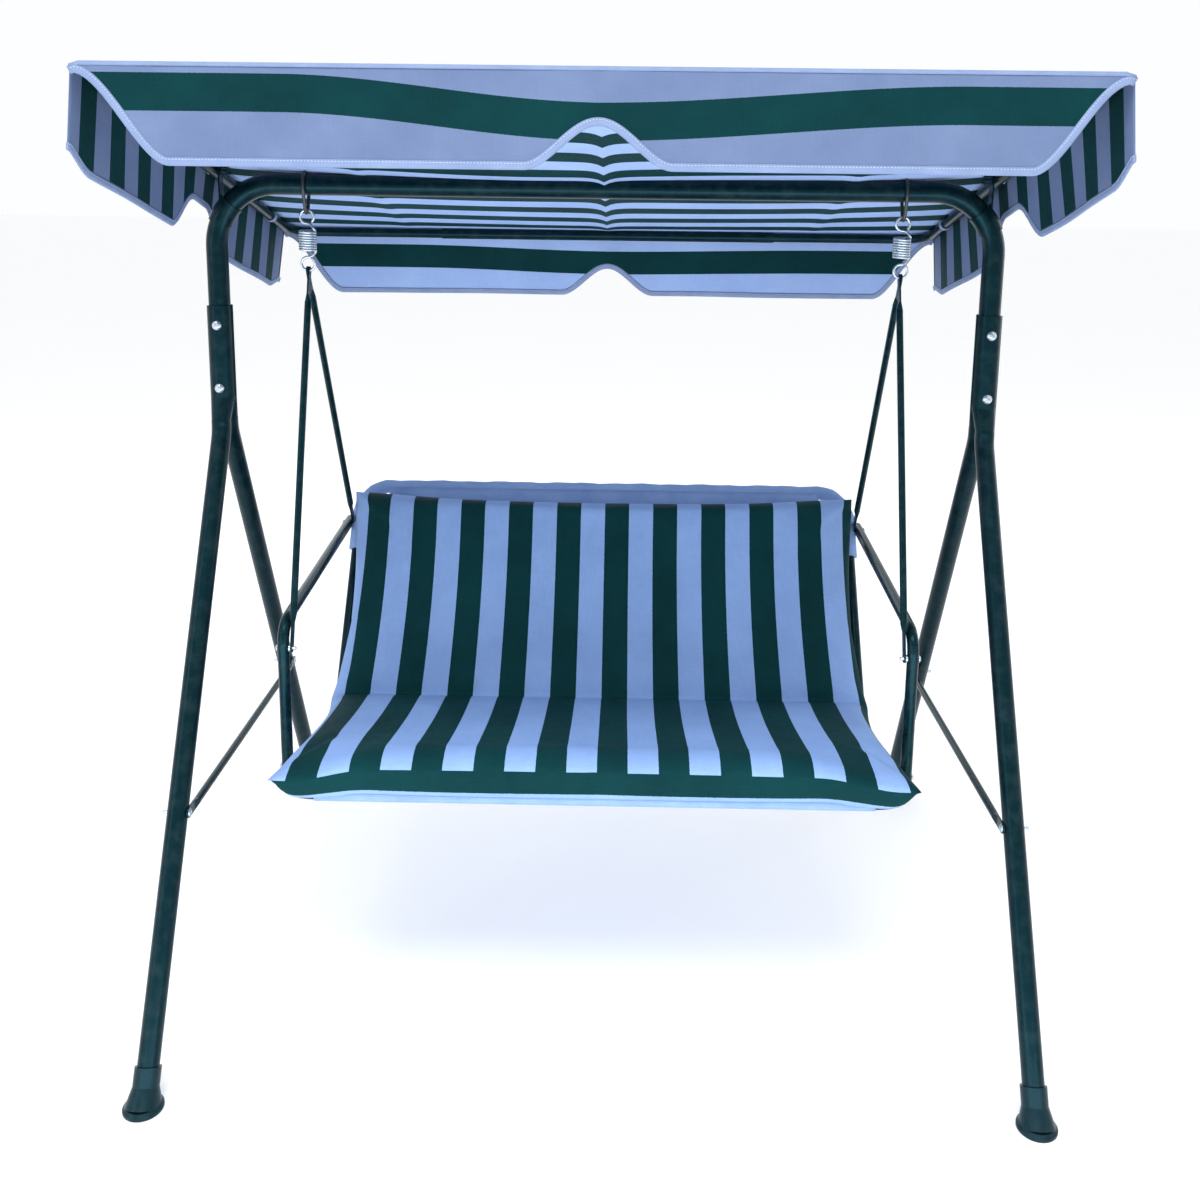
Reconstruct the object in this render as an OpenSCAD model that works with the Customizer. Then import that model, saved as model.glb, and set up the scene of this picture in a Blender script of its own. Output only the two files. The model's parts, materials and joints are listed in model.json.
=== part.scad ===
// Garden glider swing: a two-sided tube stand, a seat hung on springs and a tilting striped canopy.
// The origin is on the ground in the middle of the four feet, +Z is up and the seat faces -Y.

/* [Stand] */
// Distance between the two side frames, centre to centre
side_gap = 1380; // [1340:10:1460]
// Distance between the front and the rear feet, centre to centre
foot_gap = 1060; // [960:10:1160]
// Height of the top bar's axis
bar_z = 1410; // [1380:5:1460]
// Outside diameter of the top bar
bar_d = 38; // [34:1:40]
// Radius of the top bar's corners, on the axis
bar_bend = 110; // [95:5:120]
// Outside diameter of the legs
leg_d = 34; // [30:1:36]
// Wall thickness of the top bar and the legs
stand_wall = 1.5; // [1.2:0.1:2]
// Height of the knee, where the legs spread
knee_z = 965; // [930:5:975]
// Radius of the knee, on the axis
knee_bend = 60; // [45:5:70]
// Height of the lower bolt through a leg's top
leg_bolt_z = 1046; // [1042:1:1060]
// Distance between the two bolts through a leg's top
leg_bolt_gap = 114; // [90:2:130]
// Thickness of the crescent that a leg's top is pressed into
crescent_wall = 3.4; // [2.4:0.2:4]
// Height of the side braces
brace_z = 385; // [320:5:450]
// Outside diameter of the side braces
brace_d = 13; // [11:1:15]
// Diameter of a foot's flange
foot_d = 62; // [56:1:70]

/* [Hangers] */
// Wire diameter of the loop round the top bar
loop_wire = 6; // [5:0.5:7]
// Drop of the loop's lowest wire below the top bar's axis
loop_drop = 50; // [46:1:60]
// Wire diameter of the springs
spring_wire = 5; // [4:0.5:5.5]
// Outside diameter of the springs
spring_d = 32; // [28:1:36]
// Closed coils in each spring
spring_coils = 8; // [6:1:9]
// Outside diameter of the hanging rods
rod_d = 12; // [10:1:13]
// Thickness of the flattened tube ends
tab_t = 3; // [2.5:0.5:3.5]

/* [Seat] */
// Width of the seat frame over its tubes' axes
frame_w = 1033; // [980:1:1050]
// Outside diameter of the seat frame's tubes
frame_d = 22; // [20:1:24]
// Distance of the seat's crease behind the pivot
crease_y = 40; // [30:1:60]
// Height of the cushion's crease
crease_z = 440; // [420:5:450]
// Angle by which the seat rises to the front
seat_tilt = 10; // [6:1:14]
// Angle by which the back leans from upright
back_lean = 35; // [30:1:38]
// Length of the seat frame from the crease to the front rail
seat_len = 420; // [410:5:450]
// Length of the back frame from the crease to the top rail
back_len = 500; // [490:2:530]
// Thickness of the cushions
cushion_t = 60; // [45:1:65]
// Width of the cushions
cushion_w = 1044; // [980:2:1046]
// Length of the seat cushion on its upper side
seat_cushion_len = 410; // [400:5:430]
// Length of the back cushion on its front side
back_cushion_len = 426; // [415:1:450]
// Outside diameter of the armrests
arm_d = 20; // [18:1:22]
// Height of the armrest's front corner
arm_z = 676; // [650:2:700]
// Distance of the armrest's post in front of the pivot
arm_front = 200; // [180:5:220]

/* [Canopy] */
// Angle by which the canopy rises to the front
canopy_tilt = 14.5; // [8:0.5:18]
// Height of the canopy's pivots above the top bar's axis
pivot_rise = 22; // [21:1:28]
// Length of the canopy frame between the front and rear rails' axes
canopy_len = 1010; // [960:10:1040]
// Outside diameter of the canopy's rails
rail_d = 19; // [17:1:20]
// Length of the middle tubes that join the rails
join_len = 717; // [600:1:760]
// Outside diameter of the middle tubes
join_d = 22; // [22:1:24]
// Depth of the valances
valance_h = 135; // [110:5:150]
// Depth of the valances at their middle notch
notch_h = 76; // [60:2:90]
// Thickness of the canopy's cloth
cloth_t = 2; // [1.5:0.5:2]

/* [Hidden] */
$fn = 48;

// Clearances and small sizes that many pieces share
play = 0.4;         // between pieces that slide or turn on each other
fit = 0.2;          // between a tube and the piece that hugs it
collar = 0.6;       // length of the collar where a straight meets a bend
collar_lip = 0.1;   // how much wider than the tube that collar is
bolt_d = 8;         // bolts through the leg tops
small_bolt_d = 6;   // every other bolt
frame_green = "#06302c";
zinc = "#9aa3ad";
cloth_light = "#b9cbe8";
cloth_green = "#0c5a48";
cap_black = "#0b1a1f";

// Stand
side_x = side_gap / 2;
foot_y = foot_gap / 2;
crescent_in = bar_d / 2 + fit;
crescent_out = crescent_in + crescent_wall;
leg_y = (crescent_in + crescent_out) / 2;      // axis of a leg above its knee
leg_lean = atan2(foot_y - leg_y, knee_z);      // angle of a leg from upright
leg_bolts_z = [leg_bolt_z, leg_bolt_z + leg_bolt_gap];
bar_end_z = leg_bolt_z - 24;
leg_top_z = leg_bolts_z[1] + 35;
round_end_z = knee_z + 21;                     // where the round leg starts to flatten
leg_start = 14;                                // how far up its axis a leg starts in the foot
brace_y = foot_y - brace_z * tan(leg_lean);
brace_x = side_x - leg_d / 2 - tab_t / 2;

// Hangers, from the top bar down
loop_r = bar_d / 2 + 0.3 + loop_wire / 2;
loop_low_z = bar_z - loop_drop;
ring_r = 12;                                   // radius of a spring's end rings, on the wire's axis
ring_gap = 9.5;                                // from a ring's nearest wire to the coils
upper_ring_z = loop_low_z + (loop_wire + spring_wire) / 2 + fit - ring_r;
coil_top_z = upper_ring_z - ring_r - ring_gap;
coil_low_z = coil_top_z - spring_coils * spring_wire;
lower_ring_z = coil_low_z - ring_gap - ring_r;
pivot_z = lower_ring_z - ring_r;               // the seat turns on the lower ring's lowest wire

// Seat: x of each layer, from the frame outward
frame_x = frame_w / 2;
rear_rod_x = frame_x + frame_d / 2 + tab_t / 2;
front_rod_x = rear_rod_x - tab_t - fit;
hang_x = (rear_rod_x + front_rod_x) / 2;
arm_x = rear_rod_x + tab_t / 2 + arm_d / 2;
sling_t = 2;
frame_bend = 60;
frame_wall = 1.5;
seat_u = [-cos(seat_tilt), sin(seat_tilt)];    // along the seat to the front, as [y, z]
seat_n = [sin(seat_tilt), cos(seat_tilt)];
back_u = [sin(back_lean), cos(back_lean)];     // up along the back, as [y, z]
back_n = [-cos(back_lean), sin(back_lean)];
fold = (seat_n + back_n) / (1 + seat_n * back_n);
frame_drop = cushion_t + play + sling_t + fit + frame_d / 2;
crease = [crease_y, crease_z];
corner = crease - fold * frame_drop;           // where the seat's and the back's tube axes would meet
half_fold = (90 - back_lean + seat_tilt) / 2;
crease_gap = 0.4;                              // between the mitre and each cushion
seat_front = corner + seat_u * seat_len;
back_top = corner + back_u * back_len;
joint_at = 64;                                 // where the back frame meets the side tubes
spigot_len = 44;                               // tube inside each joint of the frame
side_from = seat_len - frame_bend - spigot_len / 2 - 2;    // where the front rail meets the side tubes

// Armrests
arm_bend = 40;
arm_wall = 1.4;
arm_slope = 4;                                 // fall of the armrest towards the front
arm_bolt_front = [-arm_front, arm_z - arm_bend * tan(45 + arm_slope / 2) - 8];
arm_bolt_rear_z = arm_z + 26;
arm_bolt_rear = [corner[0] + (arm_bolt_rear_z - corner[1]) * tan(back_lean), arm_bolt_rear_z];
rail_at = function(y) corner[1] + (corner[0] - y) * tan(seat_tilt);
arm_bolt_low = [-arm_front, rail_at(-arm_front)];
arm_low_z = arm_bolt_low[1] - 16;

// Canopy
canopy_z = bar_z + pivot_rise;                 // height of the tilt pivots
rail_x = side_x;
rail_y = canopy_len / 2;
rail_bend = 50;
plate_t = 3;
plate_r = 10;                                  // half the width of the bracket's plate
plate_x = rail_x - rail_d / 2 - 0.5 - plate_t / 2;
plug_len = 40;                                 // how deep the rails go into the middle tubes
roof_low = join_d / 2 + 0.4;                   // underside of the roof above the rails' plane
roof_w = 2 * rail_x + 38;
roof_len = canopy_len + 38;
valance_x = roof_w / 2 - cloth_t;
valance_y = roof_len / 2 - cloth_t;

// ---------- shared shapes ----------

function unit(v) = v / norm(v);
function turn(a, b) = let (s = a[0] * b[1] - a[1] * b[0]) atan2(s, a * b);
function left_of(v) = [-v[1], v[0]];
function turned(v, a) = [v[0] * cos(a) - v[1] * sin(a), v[0] * sin(a) + v[1] * cos(a)];
function ease(t) = let (u = min(1, max(0, t))) u * u * (3 - 2 * u);

// A round bar of diameter d along a route in the local XY plane.
// Each inner point of the route is rounded by its own radius. A hair-thin collar
// covers every place where a straight stretch meets a bend, unless the bar is square
// to the axes throughout, when lip is 0 and there is none.
module round_bar(route, radii, d, lip = collar_lip) {
    last = len(route) - 1;
    ways = [for (i = [0 : last - 1]) unit(route[i + 1] - route[i])];
    bends = [for (i = [0 : last]) (i == 0 || i == last) ? 0 : turn(ways[i - 1], ways[i])];
    cuts = [for (i = [0 : last]) (i == 0 || i == last) ? 0 : radii[i - 1] * tan(abs(bends[i]) / 2)];
    for (i = [0 : last - 1]) {
        length = norm(route[i + 1] - route[i]) - cuts[i] - cuts[i + 1];
        from = i == 0 || lip == 0 ? 0 : collar / 6;
        to = i == last - 1 || lip == 0 ? length : length - collar / 6;
        translate(route[i] + ways[i] * cuts[i]) rotate([0, 0, atan2(ways[i][1], ways[i][0])]) rotate([0, 90, 0]) {
            if (length > collar * 2) {
                translate([0, 0, from]) cylinder(d = d, h = to - from);
                if (lip > 0 && i > 0) translate([0, 0, -collar / 2]) cylinder(d = d + lip, h = collar);
                if (lip > 0 && i < last - 1) translate([0, 0, length - collar / 2]) cylinder(d = d + lip, h = collar);
            } else {
                translate([0, 0, (length - collar) / 2]) cylinder(d = d + lip, h = collar);
            }
        }
    }
    for (i = [1 : 1 : last - 1]) {
        side = sign(bends[i]);
        across = left_of(ways[i - 1]) * side;
        first = atan2(-across[1], -across[0]);
        translate(route[i] - ways[i - 1] * cuts[i] + across * radii[i - 1])
            rotate([0, 0, side > 0 ? first : first + bends[i]])
                rotate_extrude(angle = abs(bends[i])) translate([radii[i - 1], 0]) circle(d = d);
    }
}

// Outline of a strip of thickness t along a flat route whose inner points are rounded
function strip(route, radii, t) =
    let (last = len(route) - 1,
        ways = [for (i = [0 : last - 1]) unit(route[i + 1] - route[i])],
        bends = [for (i = [1 : last - 1]) turn(ways[i - 1], ways[i])],
        spots = concat(
            [[route[0], ways[0]]],
            [for (i = [1 : last - 1], k = [0 : 8])
                let (r = radii[i - 1], bend = bends[i - 1], side = sign(bend),
                    start = route[i] - ways[i - 1] * r * tan(abs(bend) / 2),
                    middle = start + left_of(ways[i - 1]) * r * side,
                    way = turned(ways[i - 1], bend * k / 8))
                [middle - left_of(way) * r * side, way]],
            [[route[last], ways[last - 1]]]))
    concat(
        [for (spot = spots) spot[0] + left_of(spot[1]) * t / 2],
        [for (i = [len(spots) - 1 : -1 : 0]) spots[i][0] - left_of(spots[i][1]) * t / 2]);

// A bent round tube along a flat route
module bent_tube(route, radii, d, wall, lip = collar_lip) {
    last = len(route) - 1;
    longer = [for (i = [0 : last])
        i == 0 ? route[0] - unit(route[1] - route[0])
        : i == last ? route[last] + unit(route[last] - route[last - 1])
        : route[i]];
    difference() {
        round_bar(route, radii, d, lip);
        round_bar(longer, radii, d - 2 * wall, lip);
    }
}

// Puts a flat [y, z] drawing into the YZ plane at x
module at_side(x) translate([x, 0, 0]) rotate([90, 0, 90]) children();

// Puts an [x, z] drawing into the XZ plane
module upright() rotate([90, 0, 0]) children();

// A cylinder along +X through [y, z], from x0 to x1
module pin_x(x0, x1, at, d) translate([x0, at[0], at[1]]) rotate([0, 90, 0]) cylinder(d = d, h = x1 - x0);

// A cylinder along +Y through [x, z], from y0 to y1
module pin_y(y0, y1, x, z, d) translate([x, y0, z]) rotate([-90, 0, 0]) cylinder(d = d, h = y1 - y0);

// A low domed bolt head standing on the local XY plane
module dome(d, h) {
    ball = (d * d / 4 + h * h) / (2 * h);
    intersection() {
        translate([0, 0, h - ball]) sphere(r = ball);
        cylinder(d = d, h = h + 1);
    }
}

// A hexagonal nut with its bore, standing on the local XY plane
module nut(across, h, bore) difference() {
    cylinder(d = across / cos(30), h = h, $fn = 6);
    translate([0, 0, -1]) cylinder(d = bore, h = h + 2);
}

// A tube along +Z with both ends pressed flat, square to X, and drilled
module flat_end_tube(length, d, flat, hole, tab_w) {
    blend = 14;
    difference() {
        union() {
            translate([0, 0, flat + blend]) cylinder(d = d, h = length - 2 * (flat + blend));
            for (end = [0, 1]) translate([0, 0, end * length]) mirror([0, 0, end]) {
                pin_x(-tab_t / 2, tab_t / 2, [0, 0], tab_w);
                translate([-tab_t / 2, -tab_w / 2, 0]) cube([tab_t, tab_w, flat]);
                hull() {
                    translate([-tab_t / 2, -tab_w / 2, flat - 0.5]) cube([tab_t, tab_w, 0.5]);
                    translate([0, 0, flat + blend]) cylinder(d = d, h = 0.5, $fn = 32);
                }
            }
        }
        for (end = [0, 1]) pin_x(-tab_t, tab_t, [0, end * length], hole);
    }
}

// A rod in the plane x between two [y, z] points
module rod(x, from, to, hole) {
    way = to - from;
    translate([x, from[0], from[1]]) rotate([-atan2(way[0], way[1]), 0, 0])
        flat_end_tube(norm(way), rod_d, 44, hole, 15);
}

// ---------- stand ----------

module top_bar() color(frame_green) difference() {
    upright() bent_tube(
        [[-side_x, bar_end_z], [-side_x, bar_z], [side_x, bar_z], [side_x, bar_end_z]],
        [bar_bend, bar_bend], bar_d, stand_wall, lip = 0);
    for (s = [-1, 1], z = leg_bolts_z) pin_y(-bar_d, bar_d, s * side_x, z, bolt_d + play);
}

// The crescent section of a leg's top, hugging the front of the bar
module crescent() difference() {
    circle(r = crescent_out);
    circle(r = crescent_in);
    polygon([[0, 0], [40 * cos(20), -40 * sin(20)], [40, 40], [-40, 40], [-40 * cos(20), -40 * sin(20)]]);
}

// The front leg on the +X side
module leg() color(frame_green) difference() {
    union() {
        at_side(side_x) bent_tube(
            [[-foot_y, 0] + leg_start * [sin(leg_lean), cos(leg_lean)],
             [-leg_y, knee_z], [-leg_y, round_end_z]],
            [knee_bend], leg_d, stand_wall);
        translate([side_x, 0, 0]) {
            difference() {
                hull() {
                    translate([0, -leg_y, round_end_z]) cylinder(d = leg_d - 0.6, h = 0.5, $fn = 32);
                    translate([0, 0, bar_end_z + 6]) linear_extrude(0.5) crescent($fn = 32);
                }
                translate([0, 0, bar_end_z - 4]) cylinder(r = crescent_in, h = 60);
            }
            translate([0, 0, bar_end_z + 6]) linear_extrude(leg_top_z - bar_end_z - 6) crescent();
        }
    }
    for (z = leg_bolts_z) pin_y(-bar_d, 0, side_x, z, bolt_d + play);
    pin_x(side_x - leg_d, side_x + leg_d, [-brace_y, brace_z], small_bolt_d + play);
}

module front_leg_right() leg();
module front_leg_left() mirror([1, 0, 0]) leg();
module rear_leg_right() mirror([0, 1, 0]) leg();
module rear_leg_left() mirror([1, 0, 0]) mirror([0, 1, 0]) leg();

// The cap under the front leg on the +X side
module foot() color(cap_black) difference() {
    union() {
        cylinder(d = foot_d, h = 4);
        translate([0, 0, 4]) cylinder(d1 = foot_d, d2 = foot_d - 10, h = 5);
        rotate([-leg_lean, 0, 0]) {
            cylinder(d1 = foot_d - 4, d2 = leg_d + 7, h = 30);
            cylinder(d = leg_d + 7, h = 58);
        }
    }
    translate([0, 0, -50]) cube([200, 200, 100], center = true);
    rotate([-leg_lean, 0, 0]) translate([0, 0, leg_start]) cylinder(d = leg_d + fit, h = 100);
}

module foot_front_right() translate([side_x, -foot_y, 0]) foot();
module foot_front_left() mirror([1, 0, 0]) foot_front_right();
module foot_rear_right() mirror([0, 1, 0]) foot_front_right();
module foot_rear_left() mirror([1, 0, 0]) foot_rear_right();

module leg_bolts() color(zinc)
    for (s = [-1, 1], z = leg_bolts_z) {
        translate([s * side_x, -crescent_out, z]) rotate([90, 0, 0]) dome(17, 4.5);
        pin_y(-crescent_out, crescent_out + 11, s * side_x, z, bolt_d);
    }

module leg_nuts() color(zinc)
    for (s = [-1, 1], z = leg_bolts_z) {
        translate([s * side_x, crescent_out, z]) rotate([-90, 0, 0]) difference() {
            cylinder(d = 17, h = 1.5);
            translate([0, 0, -1]) cylinder(d = bolt_d, h = 4);
        }
        translate([s * side_x, crescent_out + 1.5, z]) rotate([-90, 0, 0]) nut(13, 6.5, bolt_d);
    }

module side_brace_right() color(frame_green)
    translate([brace_x, -brace_y, brace_z]) rotate([-90, 0, 0])
        flat_end_tube(2 * brace_y, brace_d, 24, small_bolt_d + play, 18);
module side_brace_left() mirror([1, 0, 0]) side_brace_right();

module brace_bolts() color(zinc)
    for (s = [0, 1], y = [-brace_y, brace_y]) mirror([s, 0, 0]) {
        translate([brace_x - tab_t / 2, y, brace_z]) rotate([0, -90, 0]) dome(13, 3.5);
        pin_x(brace_x - tab_t / 2, side_x + leg_d / 2 + 8, [y, brace_z], small_bolt_d);
        translate([side_x + leg_d / 2, y, brace_z]) rotate([0, 90, 0]) nut(10, 5, small_bolt_d - 0.02);
    }

// A collar round the top bar's shoulder that carries the canopy's pivot
module canopy_bracket_right() color(frame_green) difference() {
    union() {
        translate([side_x - bar_bend, 0, bar_z - bar_bend]) rotate([90, 0, 0]) rotate([0, 0, 22])
            rotate_extrude(angle = 22) translate([bar_bend, 0]) circle(d = bar_d + 2 * 2.5);
        translate([plate_x - plate_t / 2, -plate_r, bar_z - 45]) cube([plate_t, 2 * plate_r, canopy_z - bar_z + 45]);
        pin_x(plate_x - plate_t / 2, plate_x + plate_t / 2, [0, canopy_z], 2 * plate_r);
    }
    translate([side_x - bar_bend, 0, bar_z - bar_bend]) rotate([90, 0, 0])
        rotate_extrude(angle = 90) translate([bar_bend, 0]) circle(d = bar_d + fit);
    pin_x(plate_x - 10, plate_x + 10, [0, canopy_z], small_bolt_d + play);
}
module canopy_bracket_left() mirror([1, 0, 0]) canopy_bracket_right();

// ---------- hangers ----------

// The closed wire loop over the top bar, narrow below
module hanger_loop_right() color(cap_black) {
    shoulder = bar_z - 8;
    route = [
        [0, loop_low_z], [7.5, loop_low_z], [loop_r, shoulder], [loop_r, bar_z + loop_r],
        [-loop_r, bar_z + loop_r], [-loop_r, shoulder], [-7.5, loop_low_z], [0, loop_low_z]
    ];
    at_side(hang_x) round_bar(route, [8, 30, loop_r, loop_r, 30, 8], loop_wire);
}
module hanger_loop_left() mirror([1, 0, 0]) hanger_loop_right();

// One end ring of a spring, facing the front
module ring(z) translate([hang_x, 0, z]) rotate([90, 0, 0])
    rotate_extrude() translate([ring_r, 0]) circle(d = spring_wire);

// A straight wire between a ring and the coils, with the bar that crosses the coils
module neck(z0, z1) translate([hang_x, 0, z0]) cylinder(d = spring_wire, h = z1 - z0);

module spring_right() color(zinc) {
    ring(upper_ring_z);
    neck(coil_top_z - spring_wire, upper_ring_z - ring_r);
    translate([hang_x, 0, coil_low_z]) difference() {
        cylinder(d = spring_d, h = coil_top_z - coil_low_z);
        translate([0, 0, spring_wire]) cylinder(d = spring_d - 2 * spring_wire,
            h = coil_top_z - coil_low_z - 2 * spring_wire);
    }
}
module spring_left() mirror([1, 0, 0]) spring_right();

module spring_hook_right() color(zinc) {
    ring(lower_ring_z);
    neck(lower_ring_z + ring_r, coil_low_z - fit);
}
module spring_hook_left() mirror([1, 0, 0]) spring_hook_right();

// ---------- seat ----------

module front_rod_right() color(frame_green)
    rod(front_rod_x, [0, pivot_z], arm_bolt_front, spring_wire + 2);
module front_rod_left() mirror([1, 0, 0]) front_rod_right();

module rear_rod_right() color(frame_green)
    rod(rear_rod_x, [0, pivot_z], arm_bolt_rear, spring_wire + 2);
module rear_rod_left() mirror([1, 0, 0]) rear_rod_right();

arm_route = [
    arm_bolt_rear + [22, 22 * tan(arm_slope)],
    [-arm_front, arm_bolt_rear[1] - (arm_bolt_rear[0] + arm_front) * tan(arm_slope)],
    [-arm_front, arm_low_z]
];

module armrest_right() color(frame_green) difference() {
    at_side(arm_x) bent_tube(arm_route, [arm_bend], arm_d, arm_wall);
    for (at = [arm_bolt_rear, arm_bolt_front, arm_bolt_low])
        pin_x(arm_x - arm_d, arm_x + arm_d, at, small_bolt_d + play);
}
module armrest_left() mirror([1, 0, 0]) armrest_right();

// Plastic plugs that close the armrests' ends: a low dome on a stem inside the tube
module armrest_plugs() color(cap_black)
    for (s = [0, 1]) mirror([s, 0, 0]) translate([arm_x, 0, 0]) {
        translate([0, -arm_front, arm_low_z]) mirror([0, 0, 1]) plug();
        translate([0, arm_route[0][0], arm_route[0][1]]) rotate([-90 + arm_slope, 0, 0]) plug();
    }
module plug() {
    dome(arm_d, 3);
    translate([0, 0, -10]) cylinder(d = arm_d - 2 * arm_wall - fit, h = 10.5);
}

// Bolts through the armrests: each has a head outside and a nut inside
module arm_bolts() color(zinc)
    for (s = [0, 1]) mirror([s, 0, 0]) {
        inner = [frame_x - frame_d / 2, front_rod_x - tab_t / 2, frame_x - frame_d / 2];
        at = [arm_bolt_rear, arm_bolt_front, arm_bolt_low];
        for (i = [0 : 2]) {
            pin_x(inner[i] - 6, arm_x + arm_d / 2, at[i], small_bolt_d);
            translate([arm_x + arm_d / 2, at[i][0], at[i][1]]) rotate([0, 90, 0]) dome(13, 3.5);
            translate([inner[i] - 5, at[i][0], at[i][1]]) rotate([0, 90, 0]) nut(10, 5, small_bolt_d - 0.02);
        }
    }

// Washers that keep the front rod and the seat rail off the armrest
module arm_spacers() color(zinc)
    for (s = [0, 1]) mirror([s, 0, 0]) difference() {
        union() {
            pin_x(front_rod_x + tab_t / 2, arm_x - arm_d / 2, arm_bolt_front, 13);
            pin_x(frame_x + frame_d / 2, arm_x - arm_d / 2, arm_bolt_low, 13);
        }
        for (at = [arm_bolt_front, arm_bolt_low]) pin_x(frame_x, arm_x, at, small_bolt_d + play);
    }

// Stands a flat drawing on the seat's plane, front towards -Y
module on_seat() translate([0, corner[0], corner[1]]) rotate([-seat_tilt, 0, 0]) children();

// Stands a flat drawing on the back's plane, top towards +Y
module on_back() translate([0, corner[0], corner[1]]) rotate([90 - back_lean, 0, 0]) children();

// The side tube on the +X side: along the seat, then up into the back
module seat_side_right() color(frame_green) difference() {
    at_side(frame_x) bent_tube(
        [corner + seat_u * side_from, corner, corner + back_u * joint_at],
        [frame_bend], frame_d, frame_wall);
    pin_x(frame_x - frame_d, frame_x + frame_d, arm_bolt_low, small_bolt_d + play);
}
module seat_side_left() mirror([1, 0, 0]) seat_side_right();

// The front rail turns back at both ends and meets the side tubes
module seat_front_rail() color(frame_green) on_seat() bent_tube(
    [[-frame_x, -side_from], [-frame_x, -seat_len], [frame_x, -seat_len], [frame_x, -side_from]],
    [frame_bend, frame_bend], frame_d, frame_wall);

// Short tubes inside the four joints of the frame
module frame_spigots() color(zinc) {
    d = frame_d - 2 * frame_wall - fit;
    for (s = [-1, 1]) {
        on_seat() translate([s * frame_x, -side_from - spigot_len / 2, 0]) rotate([-90, 0, 0]) spigot(d);
        on_back() translate([s * frame_x, joint_at - spigot_len / 2, 0]) rotate([-90, 0, 0]) spigot(d);
    }
}
module spigot(d) difference() {
    cylinder(d = d, h = spigot_len);
    translate([0, 0, -1]) cylinder(d = d - 2 * frame_wall, h = spigot_len + 2);
}

module back_frame() color(frame_green) difference() {
    on_back() bent_tube(
        [[-frame_x, joint_at], [-frame_x, back_len], [frame_x, back_len], [frame_x, joint_at]],
        [frame_bend, frame_bend], frame_d, frame_wall);
    for (s = [-1, 1]) pin_x(s * frame_x - frame_d, s * frame_x + frame_d, arm_bolt_rear, small_bolt_d + play);
}

// A straight tube between the side tubes, its ends trimmed to them
module cross_tube() difference() {
    rotate([0, 90, 0]) difference() {
        cylinder(d = 16, h = frame_w - frame_d + 6, center = true);
        cylinder(d = 13.4, h = frame_w, center = true);
    }
    for (s = [-1, 1]) translate([s * frame_x, 0, 0]) rotate([90, 0, 0])
        cylinder(d = frame_d, h = 60, center = true);
}

module seat_cross_tubes() color(frame_green) on_seat()
    for (y = [-0.2, -0.58]) translate([0, y * seat_len, 0]) cross_tube();

module back_cross_tube() color(frame_green) on_back() translate([0, 0.34 * back_len, 0]) cross_tube();

// One long cloth: round the front rail, along the seat, up the back and round the top rail
module sling() color(cloth_light) {
    off = frame_d / 2 + fit + sling_t / 2;
    hem = 60;
    route = [
        seat_front - seat_n * off - seat_u * hem,
        seat_front - seat_n * off + seat_u * off,
        seat_front + seat_n * off + seat_u * off,
        corner + fold * off,
        back_top + back_n * off + back_u * off,
        back_top - back_n * off + back_u * off,
        back_top - back_n * off - back_u * hem
    ];
    at_side(frame_bend - frame_x) linear_extrude(frame_w - 2 * frame_bend)
        polygon(strip(route, [off, off, frame_bend - off, off, off], sling_t));
}

module rounded(w, h, r) {
    translate([r, 0]) square([w - 2 * r, h]);
    translate([0, r]) square([w, h - 2 * r]);
    for (x = [r, w - r], y = [r, h - r]) translate([x, y]) circle(r = r);
}

// A cushion seen from the side: it starts at the crease with a mitre and runs along +X of the
// drawing, and the mitre's low tip is cut back from the bend of the sling
module cushion_side(length) difference() {
    translate([-80, -cushion_t]) rounded(length + 80, cushion_t, 22);
    rotate([0, 0, -90 - half_fold]) {
        translate([-150, -199]) square([300, 199 + crease_gap]);
        translate([cushion_t / cos(half_fold) - frame_bend * tan(half_fold) * sin(half_fold), -150])
            square([200, 300]);
    }
}

module seat_cushion() color(cloth_green)
    at_side(-cushion_w / 2) translate(crease) mirror([1, 0]) rotate([0, 0, seat_tilt])
        linear_extrude(cushion_w) cushion_side(seat_cushion_len);

module back_cushion() color(cloth_green)
    at_side(-cushion_w / 2) translate(crease) rotate([0, 0, 90 - back_lean])
        linear_extrude(cushion_w) cushion_side(back_cushion_len);

// ---------- canopy ----------

// The canopy's own frame: origin on the pivots, tilted up to the front
module tilted() translate([0, 0, canopy_z]) rotate([-canopy_tilt, 0, 0]) children();

module canopy_rail_right() color(frame_green) {
    end_x = join_len / 2 - plug_len;
    tilted() difference() {
        bent_tube(
            [[end_x, -rail_y], [rail_x, -rail_y], [rail_x, rail_y], [end_x, rail_y]],
            [rail_bend, rail_bend], rail_d, 1.2);
        pin_x(rail_x - rail_d, rail_x + rail_d, [0, 0], small_bolt_d + play);
    }
}
module canopy_rail_left() mirror([1, 0, 0]) canopy_rail_right();

module join_tube(y) tilted() translate([-join_len / 2, y, 0]) rotate([0, 90, 0]) difference() {
    cylinder(d = join_d, h = join_len);
    translate([0, 0, -1]) cylinder(d = rail_d + fit, h = join_len + 2);
}
module canopy_front_tube() color(frame_green) join_tube(-rail_y);
module canopy_rear_tube() color(frame_green) join_tube(rail_y);

// Narrow straps, sewn under the roof, that hold it to the rails
module canopy_ties() color(cloth_light) tilted()
    for (s = [-1, 1], y = [-0.7, -0.3, 0.3, 0.7]) translate([s * rail_x, y * rail_y - 7, 0])
        rotate([-90, 0, 0]) difference() {
            cylinder(d = join_d + 0.4, h = 14);
            translate([0, 0, -1]) cylinder(d = rail_d + fit, h = 16);
        }

module tilt_bolts() color(zinc) tilted()
    for (s = [0, 1]) mirror([s, 0, 0]) {
        pin_x(plate_x - plate_t / 2 - 9, rail_x + rail_d / 2, [0, 0], small_bolt_d);
        translate([rail_x + rail_d / 2, 0, 0]) rotate([0, 90, 0]) dome(13, 3.5);
    }

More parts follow.
